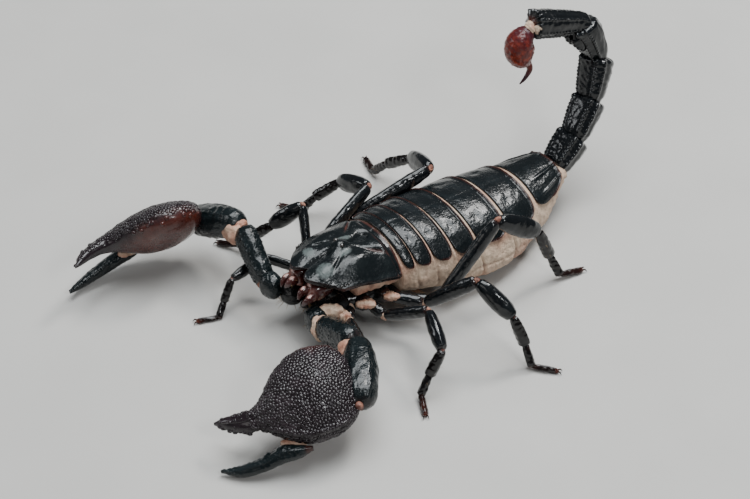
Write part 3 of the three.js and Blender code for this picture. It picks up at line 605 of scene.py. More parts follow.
def scatter_tree(name, shape):
    """Sows a small shape over a piece where its `sown` mark says."""
    tree = bpy.data.node_groups.new(name, "GeometryNodeTree")
    sockets = (("Geometry", "Geometry"), ("Spacing", "Float"), ("Size", "Float"), ("Lean", "Float"),
               ("Seed", "Int"), ("Material", "Material"))
    for label, kind in sockets:
        tree.interface.new_socket(label, in_out="INPUT", socket_type="NodeSocket" + kind)
    tree.interface.new_socket("Geometry", in_out="OUTPUT", socket_type="NodeSocketGeometry")

    def add(kind, feeds, **settings):
        """A node, each input fed by a value, by another node's output or by a list of outputs."""
        node = tree.nodes.new(kind)
        for key, setting in settings.items():
            setattr(node, key, setting)
        for key, feed in feeds.items():
            if isinstance(feed, (int, float, str, tuple)):
                node.inputs[key].default_value = feed
                continue
            for source in feed if isinstance(feed, list) else [feed]:
                tree.links.new(source, node.inputs[key])
        return node.outputs

    given = add("NodeGroupInput", {})
    sown = add("GeometryNodeInputNamedAttribute", {"Name": "sown"})
    spread = add("GeometryNodeDistributePointsOnFaces",
                 {"Mesh": given["Geometry"], "Distance Min": given["Spacing"], "Density Max": 1.6e7,
                  "Density Factor": sown["Attribute"], "Seed": given["Seed"]}, distribute_method="POISSON")
    if shape == "dome":
        ball = add("GeometryNodeMeshUVSphere", {"Radius": 1.0, "Segments": 8, "Rings": 5})
        body = add("GeometryNodeTransform", {"Geometry": ball["Mesh"], "Scale": (1, 1, 0.48)})["Geometry"]
    else:
        body = add("GeometryNodeMeshCone", {"Vertices": 5, "Radius Bottom": 0.045, "Radius Top": 0.008,
                                            "Depth": 1.0})["Mesh"]
    smooth = add("GeometryNodeSetShadeSmooth", {"Geometry": body})
    # the random node's first two inputs are for directions, the next two for numbers
    growth = add("FunctionNodeRandomValue", {2: 0.65, 3: 1.25, "Seed": given["Seed"]}, data_type="FLOAT")
    tilt = add("FunctionNodeRandomValue", {0: (-1, -1, -3.1), 1: (1, 1, 3.1), "Seed": given["Seed"]},
               data_type="FLOAT_VECTOR")
    scale = add("ShaderNodeMath", {0: growth[1], 1: given["Size"]}, operation="MULTIPLY")
    lean = add("ShaderNodeVectorMath", {0: tilt[0], "Scale": given["Lean"]}, operation="SCALE")
    turned = add("FunctionNodeRotateRotation",
                 {"Rotation": spread["Rotation"], "Rotate By": lean["Vector"]}, rotation_space="LOCAL")
    grown = add("GeometryNodeInstanceOnPoints",
                {"Points": spread["Points"], "Instance": smooth["Geometry"],
                 "Rotation": turned["Rotation"], "Scale": scale["Value"]})
    real = add("GeometryNodeRealizeInstances", {"Geometry": grown["Instances"]})
    dressed = add("GeometryNodeSetMaterial", {"Geometry": real["Geometry"], "Material": given["Material"]})
    both = add("GeometryNodeJoinGeometry", {"Geometry": [dressed["Geometry"], given["Geometry"]]})
    add("NodeGroupOutput", {"Geometry": both["Geometry"]})
    return tree


GRANULES = scatter_tree("granules", "dome")
BRISTLES = scatter_tree("bristles", "spike")


def sow(made, tree, finish, spacing, size, seed, lean=0.0):
    """Grows the tree's shapes on a finished piece; what meets the floor lies flat on it."""
    modifier = made.modifiers.new("sown", "NODES")
    modifier.node_group = tree
    given = {"Spacing": spacing / 1000, "Size": size / 1000, "Lean": lean, "Seed": seed,
             "Material": finish.material}
    for item in tree.interface.items_tree:
        if item.in_out == "INPUT" and item.name in given:
            modifier[item.identifier] = given[item.name]
    bpy.context.view_layer.update()
    grown = bpy.data.meshes.new_from_object(made.evaluated_get(bpy.context.evaluated_depsgraph_get()))
    grown.name = made.name
    made.modifiers.remove(modifier)
    made.data = grown
    points = np.empty(len(grown.vertices) * 3, np.float32)
    grown.vertices.foreach_get("co", points)
    lowest = 0.00002               # metres
    points[2::3] = np.maximum(points[2::3], lowest)
    grown.vertices.foreach_set("co", points)


bristle_finish = Finish("red-brown bristle", Roughness=0.35)
bristle_finish.feed(Base_Color=bristle_finish.blend(bristle_finish.cloud(1.0),
                                                    (0.14, 0.06, 0.02), (0.44, 0.30, 0.12)))

base_finish = cuticle("leg base shell", dark=(0.006, 0.006, 0.006), warm=(0.06, 0.020, 0.014),
                      sheen=(0.014, 0.015, 0.016), rough=0.18, pits=0.3, warmth=0.2)
LEG_BASES = {"left_1": (8.6, -15, 10), "left_2": (10.6, -9.8, 10), "left_3": (11.6, -4, 10),
             "left_4": (11.6, -0.6, 7.2), "right_1": (-8.6, -13, 9), "right_2": (-10.6, -9.8, 9.5),
             "right_3": (-11.4, -5, 11), "right_4": (-11.6, -0.6, 9)}
MEETING_PLACES = (-14.6, -11.0, -7.0, -2.9)      # where each pair's bases meet under the middle
bases = Form()
core, _, _ = sweep([(0, -1.4, 9.4), (0, -9, 9.2), (0, -16.5, 9.6)],
                   [(0, 5.6, 16.5), (0.5, 5.2, 16.5), (1, 4.4, 11)], head=0.05, tail=0.1, boxy=0.85)
bases.tube(core, sown=0)
for name, end in LEG_BASES.items():
    side = 1 if name.startswith("left") else -1
    pair = int(name[-1])
    inner = np.array((side * 2.1, MEETING_PLACES[pair - 1], 7.4))
    outer = np.array((end[0] - side * 0.5, end[1], end[2] - 0.2))
    middle = 0.5 * (inner + outer) - (0, 0, 0.4)
    rings, s, t = sweep([inner, middle, outer],
                        [(0, 3.6, 3.4), (0.5, 4.2, 3.8), (0.85, 3.9, 3.4), (1, 3.0, 2.6)],
                        rows=50, sides=44, boxy=0.8, head=0.15, tail=0.08)
    keels = 0.10 * keel(t, 300, 14) + 0.10 * keel(t, 240, 14)
    rings = emboss(rings, keels + 0.05 * ripple(rings, 1.4, pair))
    bases.tube(rings, edge=ramp(s, 0.72, 4.2), sown=0)
for side in (1, -1):
    rings, s, t = sweep([(side * 6.6, -13.5, 10), (side * 6.2, -19.5, 9.4), (side * 5.0, -25.2, 8.4)],
                        [(0, 5.4, 5.0), (0.4, 6.8, 6.0), (0.75, 7.0, 6.0), (1, 5.2, 4.8)],
                        rows=60, sides=50, boxy=0.95, head=0.15, tail=0.22)
    rings = emboss(rings, 0.07 * ripple(rings, 1.6, 9) + 0.16 * keel(t, 60, 12))
    mouth_side = 0 if side < 0 else 180
    bases.tube(rings, edge=0.2, sown=ramp(s, 0.55, 3) * keel(t, mouth_side, 60))
    rings, s, t = sweep([(side * 2.0, -14.5, 7.2), (side * 1.9, -22.2, 7.0)],
                        [(0, 2.6, 3.0), (0.6, 3.0, 3.2), (1, 2.0, 2.2)], rows=36, sides=36, tail=0.25)
    bases.tube(rings, edge=0.3, sown=0.5 * (s > 0.5))
breastplate, _, _ = sweep([(0, -11.6, 6.2), (0, -8.2, 6.0)],
                          [(0, 1.4, 1.2), (0.7, 1.6, 3.2), (1, 1.4, 2.4)], rows=30, sides=36, boxy=0.7)
bases.tube(breastplate, sown=0)
for side in (1, -1):
    beside = (side * 0.62, 0.78, 0)
    knot((side * 11.2, -11.6, 11.3), beside, length=5.2, tall=2.2, wide=2.4, tone=0.62, seed=24)
    knot((side * 12.6, -4.4, 10.8), beside, length=4.4, tall=2.0, wide=2.2, tone=0.7, seed=25)
made = bases.piece("leg_and_claw_bases", base_finish)
sow(made, BRISTLES, bristle_finish, spacing=0.75, size=1.8, seed=3, lean=0.3)
fit(made, "shell", "coxae")


# ------------------------------------------------------------------------------------------------
# Jaws. Two short maroon chelicerae stand under the front lobes; each has a swollen base, a fixed
# upper finger and a hinged outer one, with stiff bristles along the inside.

jaw_finish = cuticle("maroon jaw shell", dark=(0.040, 0.009, 0.008), warm=(0.26, 0.085, 0.065),
                     sheen=(0.11, 0.040, 0.038), rough=0.16, pits=0.15, warmth=0.6, gloss=0.8,
                     pale=(0.52, 0.30, 0.26))
for side, name in ((1, "left"), (-1, "right")):
    jaw = Form()
    inside = 180 if side > 0 else 0
    rings, s, t = sweep([(side * 3.2, -16.8, 15.9), (side * 3.5, -20.5, 16.3), (side * 3.4, -23.8, 15.9)],
                        [(0, 4.2, 4.4), (0.3, 5.3, 5.1), (0.7, 5.5, 5.3), (1, 4.0, 4.2)],
                        rows=70, sides=60, head=0.15, tail=0.2)
    rings = emboss(rings, 0.06 * ripple(rings, 1.6, 12) - 0.10 * keel(t, 90, 10))
    # pale pink painted highlight on top of the jaw's base
    jaw.tube(rings, edge=np.clip(0.2 + 2.7 * (s - 0.7), 0, 1), sown=0.3 * keel(t, inside, 40) * (s > 0.4),
             chalk=1.2 * keel(t, 75, 24) * crest(s, 0.80, 0.12))
    for across, down, size in ((-0.9, 0.2, 1.15), (1.3, -0.7, 1.05)):
        x = side * (3.4 + across)
        root = (x, -22.6, 16.4 + down)
        knuckle = (x + side * across * 0.15, -24.8, 16.3 + down)
        tip = (x - side * across * 0.3, -26.4, 15.0 + down)
        rings, s, t = sweep([root, knuckle, tip],
                            [(0, 2.6 * size, 2.0 * size), (0.5, 2.2 * size, 1.7 * size), (1, 0.7, 0.6)],
                            rows=44, sides=36, head=0.15, tail=0.12)
        teeth = 0.22 * keel(t, 270, 22) * (0.5 + 0.5 * np.cos(s * 22)) * (s > 0.35)
        # pale pink painted highlight along the top of each finger
        jaw.tube(emboss(rings, teeth), edge=0.6 * (1 - s), sown=0.2 * (s < 0.6),
                 chalk=1.3 * keel(t, 95, 30) * crest(s, 0.38, 0.16))
    made = jaw.piece(f"jaw_{name}", jaw_finish)
    sow(made, BRISTLES, bristle_finish, spacing=1.1, size=0.9, seed=5, lean=0.4)
    fit(made, "mouth_shell", f"chelicera_{name}")


# ------------------------------------------------------------------------------------------------
# Belly. Five thin overlapping plates, the first four each with a pair of slit breathing holes, and in
# front of them the two combs, thin blades with a row of small pegs that hang just under the skin.

belly_finish = cuticle("belly plate shell", dark=(0.020, 0.015, 0.013), warm=(0.16, 0.07, 0.045),
                       sheen=(0.045, 0.036, 0.032), rough=0.28, pits=0.2, warmth=0.7)
belly = Form()
BELLY_EDGES = (13, 20.5, 28.5, 37, 46, 56)
SLITTED_PLATES = 4                 # the last plate has no breathing slits
SLIT_ASIDE = 0.62
for i in range(5):
    front = BELLY_EDGES[i] + (0.0 if i == 0 else 0.5)
    long = BELLY_EDGES[i + 1] - front
    u, v, h, _ = plate_grid(top=26, lip=3, under=10, across=90, spread=0.985)
    off = np.abs(u)
    inset = 0.5 * (1 - np.sqrt(np.clip(1 - off ** 8, 0, 1))) * long * 0.9
    y = front + inset + v * (long - 2 * inset)
    slit = crest(off, SLIT_ASIDE, 0.07) * crest(v, 0.55 - (off - SLIT_ASIDE) * 0.8, 0.05)
    slit = -0.20 * slit * (i < SLITTED_PLATES)
    swell = 0.12 * np.sin(math.pi * v) + 0.10 * v
    sheet = trunk_point(y, math.pi + u * 0.70, 0.25 + h * (0.45 + swell + slit))
    belly.tube(sheet, edge=np.clip(crest(v, 1, 0.09) + crest(off, 1, 0.06), 0, 1))
fit(belly.piece("belly_plates", belly_finish), "shell", "sternites")

comb_finish = cuticle("comb shell", dark=(0.22, 0.13, 0.085), warm=(0.42, 0.28, 0.19),
                      sheen=(0.30, 0.20, 0.14), rough=0.4, pits=0.3)
PEGS = 18
COMB_START = 1.2
COMB_LENGTH = 9.0
COMB_SLANT = 3.0
for side, name in ((1, "left"), (-1, "right")):
    comb = Form()
    along = np.linspace(0, 1, 5)
    spine_y = 4.6 + COMB_SLANT * along
    spine = np.stack([side * (COMB_START + COMB_LENGTH * along), spine_y, belly_height(spine_y) - 0.75], -1)
    blade, _, _ = sweep(spine, [(0, 0.5, 1.5), (0.5, 0.5, 1.2), (1, 0.35, 0.6)], rows=50, sides=24)
    comb.tube(blade)
    for k in range(PEGS):
        f = (k + 0.5) / (PEGS + 0.5)
        root = np.array([side * (COMB_START + COMB_LENGTH * f), 4.9 + COMB_SLANT * f, 0])
        tip = root + np.array([side * 0.25, 1.9 - 0.9 * f, 0])
        root[2] = belly_height(root[1]) - 0.75
        tip[2] = belly_height(tip[1]) - 0.85
        peg, _, _ = sweep([root, tip], [(0, 0.34, 0.36), (0.7, 0.36, 0.42), (1, 0.2, 0.24)],
                          rows=12, sides=12)
        comb.tube(peg, edge=0.8)
    fit(comb.piece(f"comb_{name}", comb_finish), "membrane", f"pecten_{name}")


# ------------------------------------------------------------------------------------------------
# Tail. Five hard rings, each with saw-edged keels above and rounder ones beneath, hinged by small
# cuffs of skin; the last is the longest and ends in a spiny arch over the sting's root.

tail_finish = cuticle("tail shell", dark=(0.003, 0.004, 0.005), warm=(0.050, 0.014, 0.009),
                      sheen=(0.007, 0.009, 0.011), rough=0.11, pits=0.30, warmth=0.2, gloss=0.3)
TAIL = ((1, 60, 12), (0.2, 67.2, 17.9), (-2, 74.3, 25.9), (-5, 79.2, 36), (-7.5, 75.4, 48),
        (-9.9, 59.4, 53.2))
# each ring's width, depth and the height of its humped rear end
RING_SIZES = ((8.8, 8.2, 0), (8.4, 7.9, 0), (8.2, 8.0, 0.3), (7.6, 7.6, 1.3), (6.8, 6.6, 0))
SERRATED = 3
LAST_RING = 4
before = 0.0
for i, (width, depth, bend) in enumerate(RING_SIZES):
    start, end = np.array(TAIL[i], float), np.array(TAIL[i + 1], float)
    run = unit(end - start)
    dorsal = unit(np.cross((1, 0, 0), end - start))
    neck, tuck = (0.82, 2.4) if i == LAST_RING else (0.62, 1.5)
    rings, s, t = sweep([start - tuck * run, end + 0.7 * run],
                        [(0, neck, neck + 0.04), (0.12, neck + 0.12, neck + 0.14), (0.24, 0.88, 0.90),
                         (0.48, 0.98, 0.99), (0.76, 1.08, 1.06), (0.92, 1.04, 1.02), (1, 0.80, 0.82)],
                        up=dorsal, size=(depth, width), rows=120, sides=96, boxy=0.97, head=0.04, tail=0.11,
                        lift=lambda place: (before * np.clip(0.25 - place, 0, 1) * 4
                                            + bend * np.clip(place - 0.7, 0, 1) * 3.3))
    saw = 0.55 + 0.45 * np.abs(np.sin(s * math.pi * (11 + 2 * i)))
    upper = keel(t, 50, 5) + keel(t, 130, 5) + 0.8 * (keel(t, 18, 5) + keel(t, 162, 5))
    lower = keel(t, 318, 5) + keel(t, 222, 5)
    hump = 0.30 + 0.75 * np.sin(math.pi * np.clip(s * 1.1 - 0.08, 0, 1)) ** 0.7
    if i == LAST_RING:
        under_keels = 0.46 * (lower + keel(t, 270, 5)) * saw
    else:
        under_keels = 0.16 * (lower + (keel(t, 284, 4) + keel(t, 256, 4)))
    relief = (0.62 * upper * saw * hump + under_keels) * np.clip(s * 5 - 0.4, 0, 1)
    lobe = 1.5 * saw if i == SERRATED else 0.45
    relief = relief + lobe * (keel(t, 50, 9) + keel(t, 130, 9)) * crest(s, 0.93, 0.06)
    relief = relief - 0.42 * keel(t, 90, 24) * ramp(s, 0.04, 8) - 0.10 * (keel(t, 0, 9) + keel(t, 180, 9))
    relief = relief - 0.28 * crest(s, 0.07, 0.02) + 0.20 * crest(s, 0.94, 0.045)
    relief = relief + 0.05 * ripple(rings, 1.5, 70 + i)
    if i == LAST_RING:
        arch_teeth = 1.1 * crest(s, 0.94, 0.025) * np.clip(-np.sin(t), 0, 1) * (0.5 + 0.5 * np.cos(t * 18))
        relief = relief + arch_teeth
    grains = keel(t, 50, 14) + keel(t, 130, 14) + keel(t, 18, 8) + keel(t, 162, 8) + 0.4 * keel(t, 270, 35)
    ring = Form().tube(emboss(rings, relief * ramp(1.02 - s, 0, 12)),
                       edge=np.clip(crest(s, 0.99, 0.03) + 0.5 * crest(s, 0, 0.05), 0, 1),
                       sown=0.5 * np.clip(grains, 0, 1) * (s > 0.12) * (s < 0.9))
    if i == SERRATED:
        for across in (1.5, -1.5):
            root = end + 3.4 * dorsal - 2.9 * run + (across, 0, 0)
            fan, s, t = sweep([root - 3.6 * run, root + 2.9 * run],
                              [(0, 1.6, 1.4), (0.35, 3.8, 1.9), (0.65, 5.0, 2.2), (1, 3.0, 1.8)],
                              up=dorsal, rows=50, sides=40, head=0.3, tail=0.3)
            ring.tube(emboss(fan, 0.35 * keel(t, 90, 40) * np.abs(np.sin(s * 15))), edge=0.2, sown=0.3)
    made = ring.piece(f"tail_ring_{i + 1}", tail_finish)
    sow(made, GRANULES, tail_finish, spacing=0.62, size=0.13, seed=30 + i)
    fit(made, "shell", f"metasoma_{i + 1}")
    if i != LAST_RING:
        knot(start, run, length=2.6, tall=0.50 * depth, wide=0.52 * width, tone=0.9, seed=i, up=dorsal)
    before = bend
knot((-9.6, 58.9, 52.3), (-0.1, -0.75, -0.6), length=3.2, tall=4.0, wide=3.8, tone=0.3,
     up=(0, -0.6, 0.75), seed=9)
knot((-7.7, 60.6, 52.6), (0, -1, 0.1), length=4.2, tall=3.6, wide=2.6, tone=-0.1, seed=10)


# ------------------------------------------------------------------------------------------------
# Sting. A red-amber bulb, rough with small grains and darker at its root, that tapers into one hard
# hooked needle, dark at the tip.

sting_finish = Finish("red-amber sting shell", Coat_Weight=0.15, Coat_Roughness=0.12,
                      Specular_IOR_Level=0.30)
mottle = sting_finish.cloud(1.3, 4).between(0.35, 0.7)
amber = sting_finish.blend(mottle, (0.080, 0.005, 0.003), (0.25, 0.026, 0.006))
sting_finish.feed(Base_Color=sting_finish.blend(sting_finish.mark("edge"), amber, (0.036, 0.008, 0.014)),
                  Roughness=0.2 + 0.25 * sting_finish.cloud(0.7, 3))
sting_finish.wear(sting_finish.cells(0.5, 0.4) + 0.6 * sting_finish.cloud(0.5, 3), strength=0.3, depth=0.10)
BULB = ((-9.9, 58.9, 52.1), (-9.8, 55.4, 49), (-9.8, 55.8, 44.8), (-9.7, 58.2, 41.2))
rings, s, t = sweep(BULB, [(0, 3.2, 3.4), (0.12, 5.0, 5.0), (0.3, 7.1, 7.2), (0.48, 7.9, 7.7),
                           (0.66, 7.2, 7.0), (0.84, 4.8, 4.7), (1, 2.4, 2.4)],
                    up=(0, 1, 0.2), rows=110, sides=90, boxy=1.0, head=0.08, tail=0.04)
rings = emboss(rings, 0.07 * ripple(rings, 1.1, 80) + 0.05 * np.cos(6 * t) * np.sin(math.pi * s))
bulb = Form().tube(rings, edge=np.clip(1.35 - s * 2.7, 0, 1) * 0.9,
                   sown=ramp(s, 0.08, 4) * ramp(0.95 - s, 0, 6))
made = bulb.piece("sting_bulb", sting_finish)
sow(made, GRANULES, sting_finish, spacing=0.70, size=0.15, seed=41)
fit(made, "sting_shell", "telson")
NEEDLE = ((-9.7, 58.0, 41.9), (-9.7, 59.2, 38.5), (-9.7, 57.8, 36.5), (-9.6, 55.8, 35.4))
rings, s, _ = sweep(NEEDLE, [(0, 2.3, 2.3), (0.3, 1.7, 1.7), (0.6, 1.2, 1.2), (0.85, 0.75, 0.75),
                             (1, 0.28, 0.28)], up=(1, 0, 0), rows=70, sides=28, tail=0.02)
needle = Form().tube(rings, edge=np.clip(s * 1.6 - 0.1, 0, 1))
fit(needle.piece("sting_needle", sting_finish), "sting_shell", "aculeus")


# ------------------------------------------------------------------------------------------------
# Claw arms. A ball-like first joint, a stout knobbly femur and a swollen patella carry each claw;
# the hard tubes are set with rows of rounded tubercles and meet in wide cuffs of pale skin.

arm_finish = cuticle("claw arm shell", dark=(0.003, 0.006, 0.007), warm=(0.060, 0.018, 0.013),
                     sheen=(0.014, 0.021, 0.024), rough=0.17, pits=0.70)


def aim(side, heading, rise):
    """Heading is degrees from straight out of the body's side towards the tail, rise is upwards."""
    h, r = math.radians(heading), math.radians(rise)
    return np.array([side * math.cos(h) * math.cos(r), math.sin(h) * math.cos(r), math.sin(r)])


# each arm's hip, the headings and rises of femur, patella and hand, how far the hand is rolled
# about its length in degrees, and how far its finger drops open
ARMS = (("left", 1, (8.5, -24, 9), (-1, 23), (-35, -6), (-127, -10), 33, 0.0),
        ("right", -1, (-10.5, -26.5, 11), (12, 29), (-12, -27), (-88, 5), 55, 3.4))
FEMUR_LENGTH = 17.2
PATELLA_LENGTH = 18.7
for name, side, hip, femur, patella, hand, roll, droop in ARMS:
    hip = np.array(hip, float)
    femur_run = aim(side, *femur)
    elbow = hip + femur_run * FEMUR_LENGTH
    wrist = elbow + aim(side, *patella) * PATELLA_LENGTH
    front = 180 if side < 0 else 0            # degrees round the tube that face the head

    rings, s, t = sweep([hip + (-side * 4.8, 0.6, 0.6), hip + (side * 0.9, 0, 0.6)],
                        [(0, 5, 4.2), (0.3, 6.8, 5.2), (0.65, 7.5, 5.7), (1, 6.4, 5)],
                        rows=60, sides=60, head=0.18, tail=0.3, boxy=0.9)
    rings = emboss(rings, 0.06 * ripple(rings, 1.5, 90) + 0.14 * crest(s, 0.85, 0.05))
    made = Form().tube(rings, edge=ramp(s, 0.8, 3), sown=0.4).piece(f"claw_arm_{name}_joint", arm_finish)
    sow(made, GRANULES, arm_finish, spacing=0.75, size=0.14, seed=50)
    fit(made, "shell", f"palp_{name}_trochanter")

    rings, s, t = sweep([hip, elbow - 0.9 * unit(elbow - hip)],
                        [(0, 0.62, 0.62), (0.1, 0.84, 0.84), (0.4, 0.95, 0.95), (0.72, 1, 1),
                         (0.9, 0.94, 0.92), (1, 0.8, 0.8)],
                        size=(7.4, 6.2), rows=100, sides=80, head=0.08, tail=0.14, boxy=0.98)
    edges = keel(t, 45, 8) + keel(t, 135, 8) + keel(t, 225, 8) + keel(t, 315, 8)
    knobs = 0.24 * edges * (0.6 + 0.4 * np.sin(s * 62)) * ramp(s, 0, 5) * ramp(1 - s, 0, 8)
    rings = emboss(rings, knobs + 0.06 * ripple(rings, 1.6, 91) + 0.12 * crest(s, 0.95, 0.03))
    thigh = Form().tube(rings, edge=np.clip((s - 0.9) * 8, 0, 0.4),
                        sown=np.clip(0.12 + edges + 0.4 * keel(t, front, 50), 0, 1))
    made = thigh.piece(f"claw_arm_{name}_femur", arm_finish)
    sow(made, GRANULES, arm_finish, spacing=0.9, size=0.27, seed=51)
    fit(made, "shell", f"palp_{name}_femur")
    if side > 0:
        beside = (0.62, 0.78, 0.05)
        knot(hip + femur_run * 1.3, femur_run, length=3.4, tall=7.1, wide=6.3, tone=0.35, seed=11)
        knot(hip + (-0.6, 3.7, 2.7), beside, length=7.0, tall=3.6, wide=3.6, tone=0.25, seed=16)
        knot(hip + (2.0, 6.0, 1.6), beside, length=3.6, tall=3.0, wide=3.0, tone=0.5, seed=17)
    else:
        knot(hip + femur_run * 0.6, femur_run, length=2.6, tall=4.8, wide=4.2, tone=1.2, seed=11)

    forearm = unit(wrist - elbow)
    rings, s, t = sweep([elbow - 0.6 * forearm, wrist + 1.3 * forearm],
                        [(0, 0.64, 0.58), (0.12, 0.82, 0.76), (0.36, 1, 1), (0.68, 1, 0.98),
                         (0.88, 0.90, 0.86), (1, 0.76, 0.74)],
                        size=(8.4, 8.6), rows=110, sides=90, head=0.08, tail=0.16, boxy=0.95,
                        lift=lambda place: 0.3 + 0 * place)
    ridge = keel(t, 62, 6) + keel(t, 118, 6) + keel(t, front, 8) * crest(s, 0.35, 0.25) * 1.4
    raised = 0.20 * ridge * ramp(s, 0, 5) * ramp(1 - s, 0, 6)
    rings = emboss(rings, raised + 0.07 * ripple(rings, 2.2, 92) + 0.14 * crest(s, 0.94, 0.03))
    grains = 0.9 * keel(t, front, 40) + 0.5 * keel(t, 270, 30) + 0.4 * ridge
    swelling = Form().tube(rings, edge=np.clip((s - 0.88) * 7, 0, 0.45), sown=np.clip(grains, 0, 1))
    made = swelling.piece(f"claw_arm_{name}_patella", arm_finish)
    sow(made, GRANULES, arm_finish, spacing=0.72, size=0.17, seed=52)
    fit(made, "shell", f"palp_{name}_patella")
    middle = unit(unit(elbow - hip) + forearm)
    inner_bend = unit(forearm - unit(elbow - hip))
    knot(elbow + 0.7 * inner_bend, middle, length=3.4, tall=4.0, wide=3.8, tone=1.0, seed=12)
    knot(elbow + 2.8 * inner_bend + (0.8 * side, -0.7, 0.3), middle, length=7.4, tall=6.4, wide=5.6,
         tone=0.65, seed=13)


# ------------------------------------------------------------------------------------------------
# Claws. Each hand is a broad heavy shell packed with rounded granules, drawn out in front into a
# hooked fixed finger; the outer finger is a separate curved blade hinged on a pale strip of skin.

hand_finish = cuticle("granular claw shell", dark=(0.010, 0.006, 0.008), warm=(0.085, 0.018, 0.011),
                      sheen=(0.034, 0.021, 0.027), rough=0.20, pits=0.10, warmth=0.35, gloss=0.4)
# all by the distance from the wrist: the hand's edges, thickness and arch, then the finger's
# middle line, breadth and thickness
inner_edge = through((0.6, 3.5), (2.4, 10), (5.4, 14), (8.9, 15.1), (12.5, 14.9), (17.7, 12.4),
                     (21.1, 8.6), (23.5, 4.4), (25.5, 2.2), (29, 1.3), (33.4, 0.9), (35.9, 0.35))
outer_edge = through((0.6, -1.4), (2.2, -3.8), (4.7, -5.8), (9, -7.4), (12.6, -7.9), (17, -7),
                     (20.6, -5.4), (24.2, -3.6), (27.6, -3.6), (33.1, -2), (35.9, -0.35))
hand_depth = through((0.6, 3.6), (3, 6.8), (8, 9.8), (14, 10.2), (20, 7.6), (25, 4.4), (30, 3.2),
                     (34, 2), (35.9, 0.8))
hand_arch = through((0.6, 0), (8, 0.3), (15, 1.2), (22, 2.3), (28, 2.6), (33, 1.3), (35.9, 0))
finger_middle = through((12.8, -9.2), (16.3, -9.5), (20, -9.6), (23.5, -11.2), (26.4, -11.8),
                        (30.3, -12.3), (33, -12.1), (35.3, -11.6))
finger_width = through((12.8, 1.2), (16.3, 3.4), (20, 4.4), (23.5, 3.4), (26.4, 3.3), (30.3, 2.8),
                       (33, 1.7), (35.3, 0.7))
finger_depth = through((12.8, 2.2), (15.6, 3.6), (20, 3.8), (26, 3.2), (32, 2), (35.3, 0.8))


def hand_rings(grip, along, turn, middle, width, depth, arch):
    """Rings across a hand: `turn` 0 is its inner edge, a quarter turn its back."""
    origin, forward, back, inward = grip
    a, t = grid(along, turn)
    across = middle(a) + np.cos(t) * width(a) / 2
    raised = arch(a) + power(np.sin(t), 0.9) * depth(a) / 2
    rings = origin + a[..., None] * forward + across[..., None] * inward + raised[..., None] * back
    return rings, a, t


for name, side, hip, femur, patella, hand, roll, droop in ARMS:
    patella_run = aim(side, *patella)
    wrist = np.array(hip, float) + aim(side, *femur) * FEMUR_LENGTH + patella_run * PATELLA_LENGTH
    forward = aim(side, *hand)
    flat_back = unit(np.array([0, 0, 1.0]) - forward * forward[2])
    out = np.cross(forward, flat_back) * -side
    back = flat_back * math.cos(math.radians(roll)) + out * math.sin(math.radians(roll))
    inward = np.cross(back, forward) * -side
    grip = (wrist, forward, back, inward)
    turn = np.linspace(0, 2 * math.pi, 130, endpoint=False)

    along = 0.55 + 35.35 * (0.5 - 0.5 * np.cos(math.pi * np.linspace(0.01, 0.995, 190))) ** 0.92
    rings, a, t = hand_rings(grip, along, turn, lambda q: (inner_edge(q) + outer_edge(q)) / 2,
                             lambda q: inner_edge(q) - outer_edge(q), hand_depth, hand_arch)
    palm = through((0, 0), (2, 1), (22, 1), (27, 0.2), (36, 0))(a)
    ridges = 0.30 * keel(t, 148, 5) * palm + 0.22 * keel(t, 90, 6) * np.clip(a - 19, 0, 4) / 4 * (a < 34)
    teeth = 0.26 * keel(t, 180, 16) * np.abs(np.sin(a * 2.3)) * (a > 23) * (a < 34.5)
    teeth = teeth + 0.5 * keel(t, 180, 16) * crest(a, 27.3, 0.9)
    swell = 0.4 * keel(t, 90, 30) * crest(a, 10, 5)
    rings = emboss(rings, ridges + teeth + swell + 0.05 * ripple(rings, 3.4, 100))
    back_side = np.clip(np.clip(np.sin(t) + 0.35, 0, 1) * 1.6, 0, 1)
    under = np.clip(-np.sin(t) * 1.2, 0, 1) * palm
    claw = Form().tube(rings, edge=np.clip(0.75 * under + 0.25 * keel(t, 0, 30) * palm, 0, 1),
                       sown=back_side * np.clip(palm + 0.25, 0, 1) * (a > 1))
    made = claw.piece(f"claw_{name}_hand", hand_finish)
    sow(made, GRANULES, hand_finish, spacing=0.66, size=0.56, seed=60)
    fit(made, "claw_shell", f"palp_{name}_hand")

    along = 12.7 + 22.6 * (0.5 - 0.5 * np.cos(math.pi * np.linspace(0.01, 0.995, 120)))
    rings, a, t = hand_rings(grip, along, turn[::2], finger_middle, finger_width, finger_depth,
                             lambda q: 0.8 - (droop + 0.8) * (np.clip(q - 12.8, 0, 23) / 22.5) ** 1.5)
    teeth = 0.24 * keel(t, 0, 18) * np.abs(np.sin(a * 2.5)) * (a > 21)
    teeth = teeth + 0.75 * keel(t, 0, 24) * crest(a, 23.6, 1.0)
    rings = emboss(rings, teeth + 0.14 * keel(t, 90, 10) + 0.05 * ripple(rings, 1.4, 102))
    finger = Form().tube(rings, edge=np.clip((15.5 - a) * 0.5, 0, 0.8),
                         sown=0.3 * keel(t, 90, 50) * (a < 30))
    made = finger.piece(f"claw_{name}_finger", arm_finish)
    sow(made, GRANULES, arm_finish, spacing=1.1, size=0.11, seed=61)
    fit(made, "shell", f"palp_{name}_finger")
    hinge = wrist + 17.2 * forward - 7.2 * inward + 0.3 * back
    knot(hinge, forward, length=6.6, tall=2.6, wide=3.0, tone=0.6, up=back, seed=14)
    knot(wrist - 0.9 * patella_run, unit(forward + patella_run), length=3.2, tall=3.4, wide=3.2,
         tone=1.15, up=back, seed=15)
    if side > 0:
        knot(wrist + (0.9, -1.5, 0.9), back, length=4.2, tall=1.9, wide=2.0, tone=1.42, up=forward, seed=18)


# ------------------------------------------------------------------------------------------------
# Walking legs. Eight legs of hard flattened tubes: short hip joint, femur, patella, tibia and two
# foot joints, each sharp along its lower edge and tucked into the next with a cuff of skin.

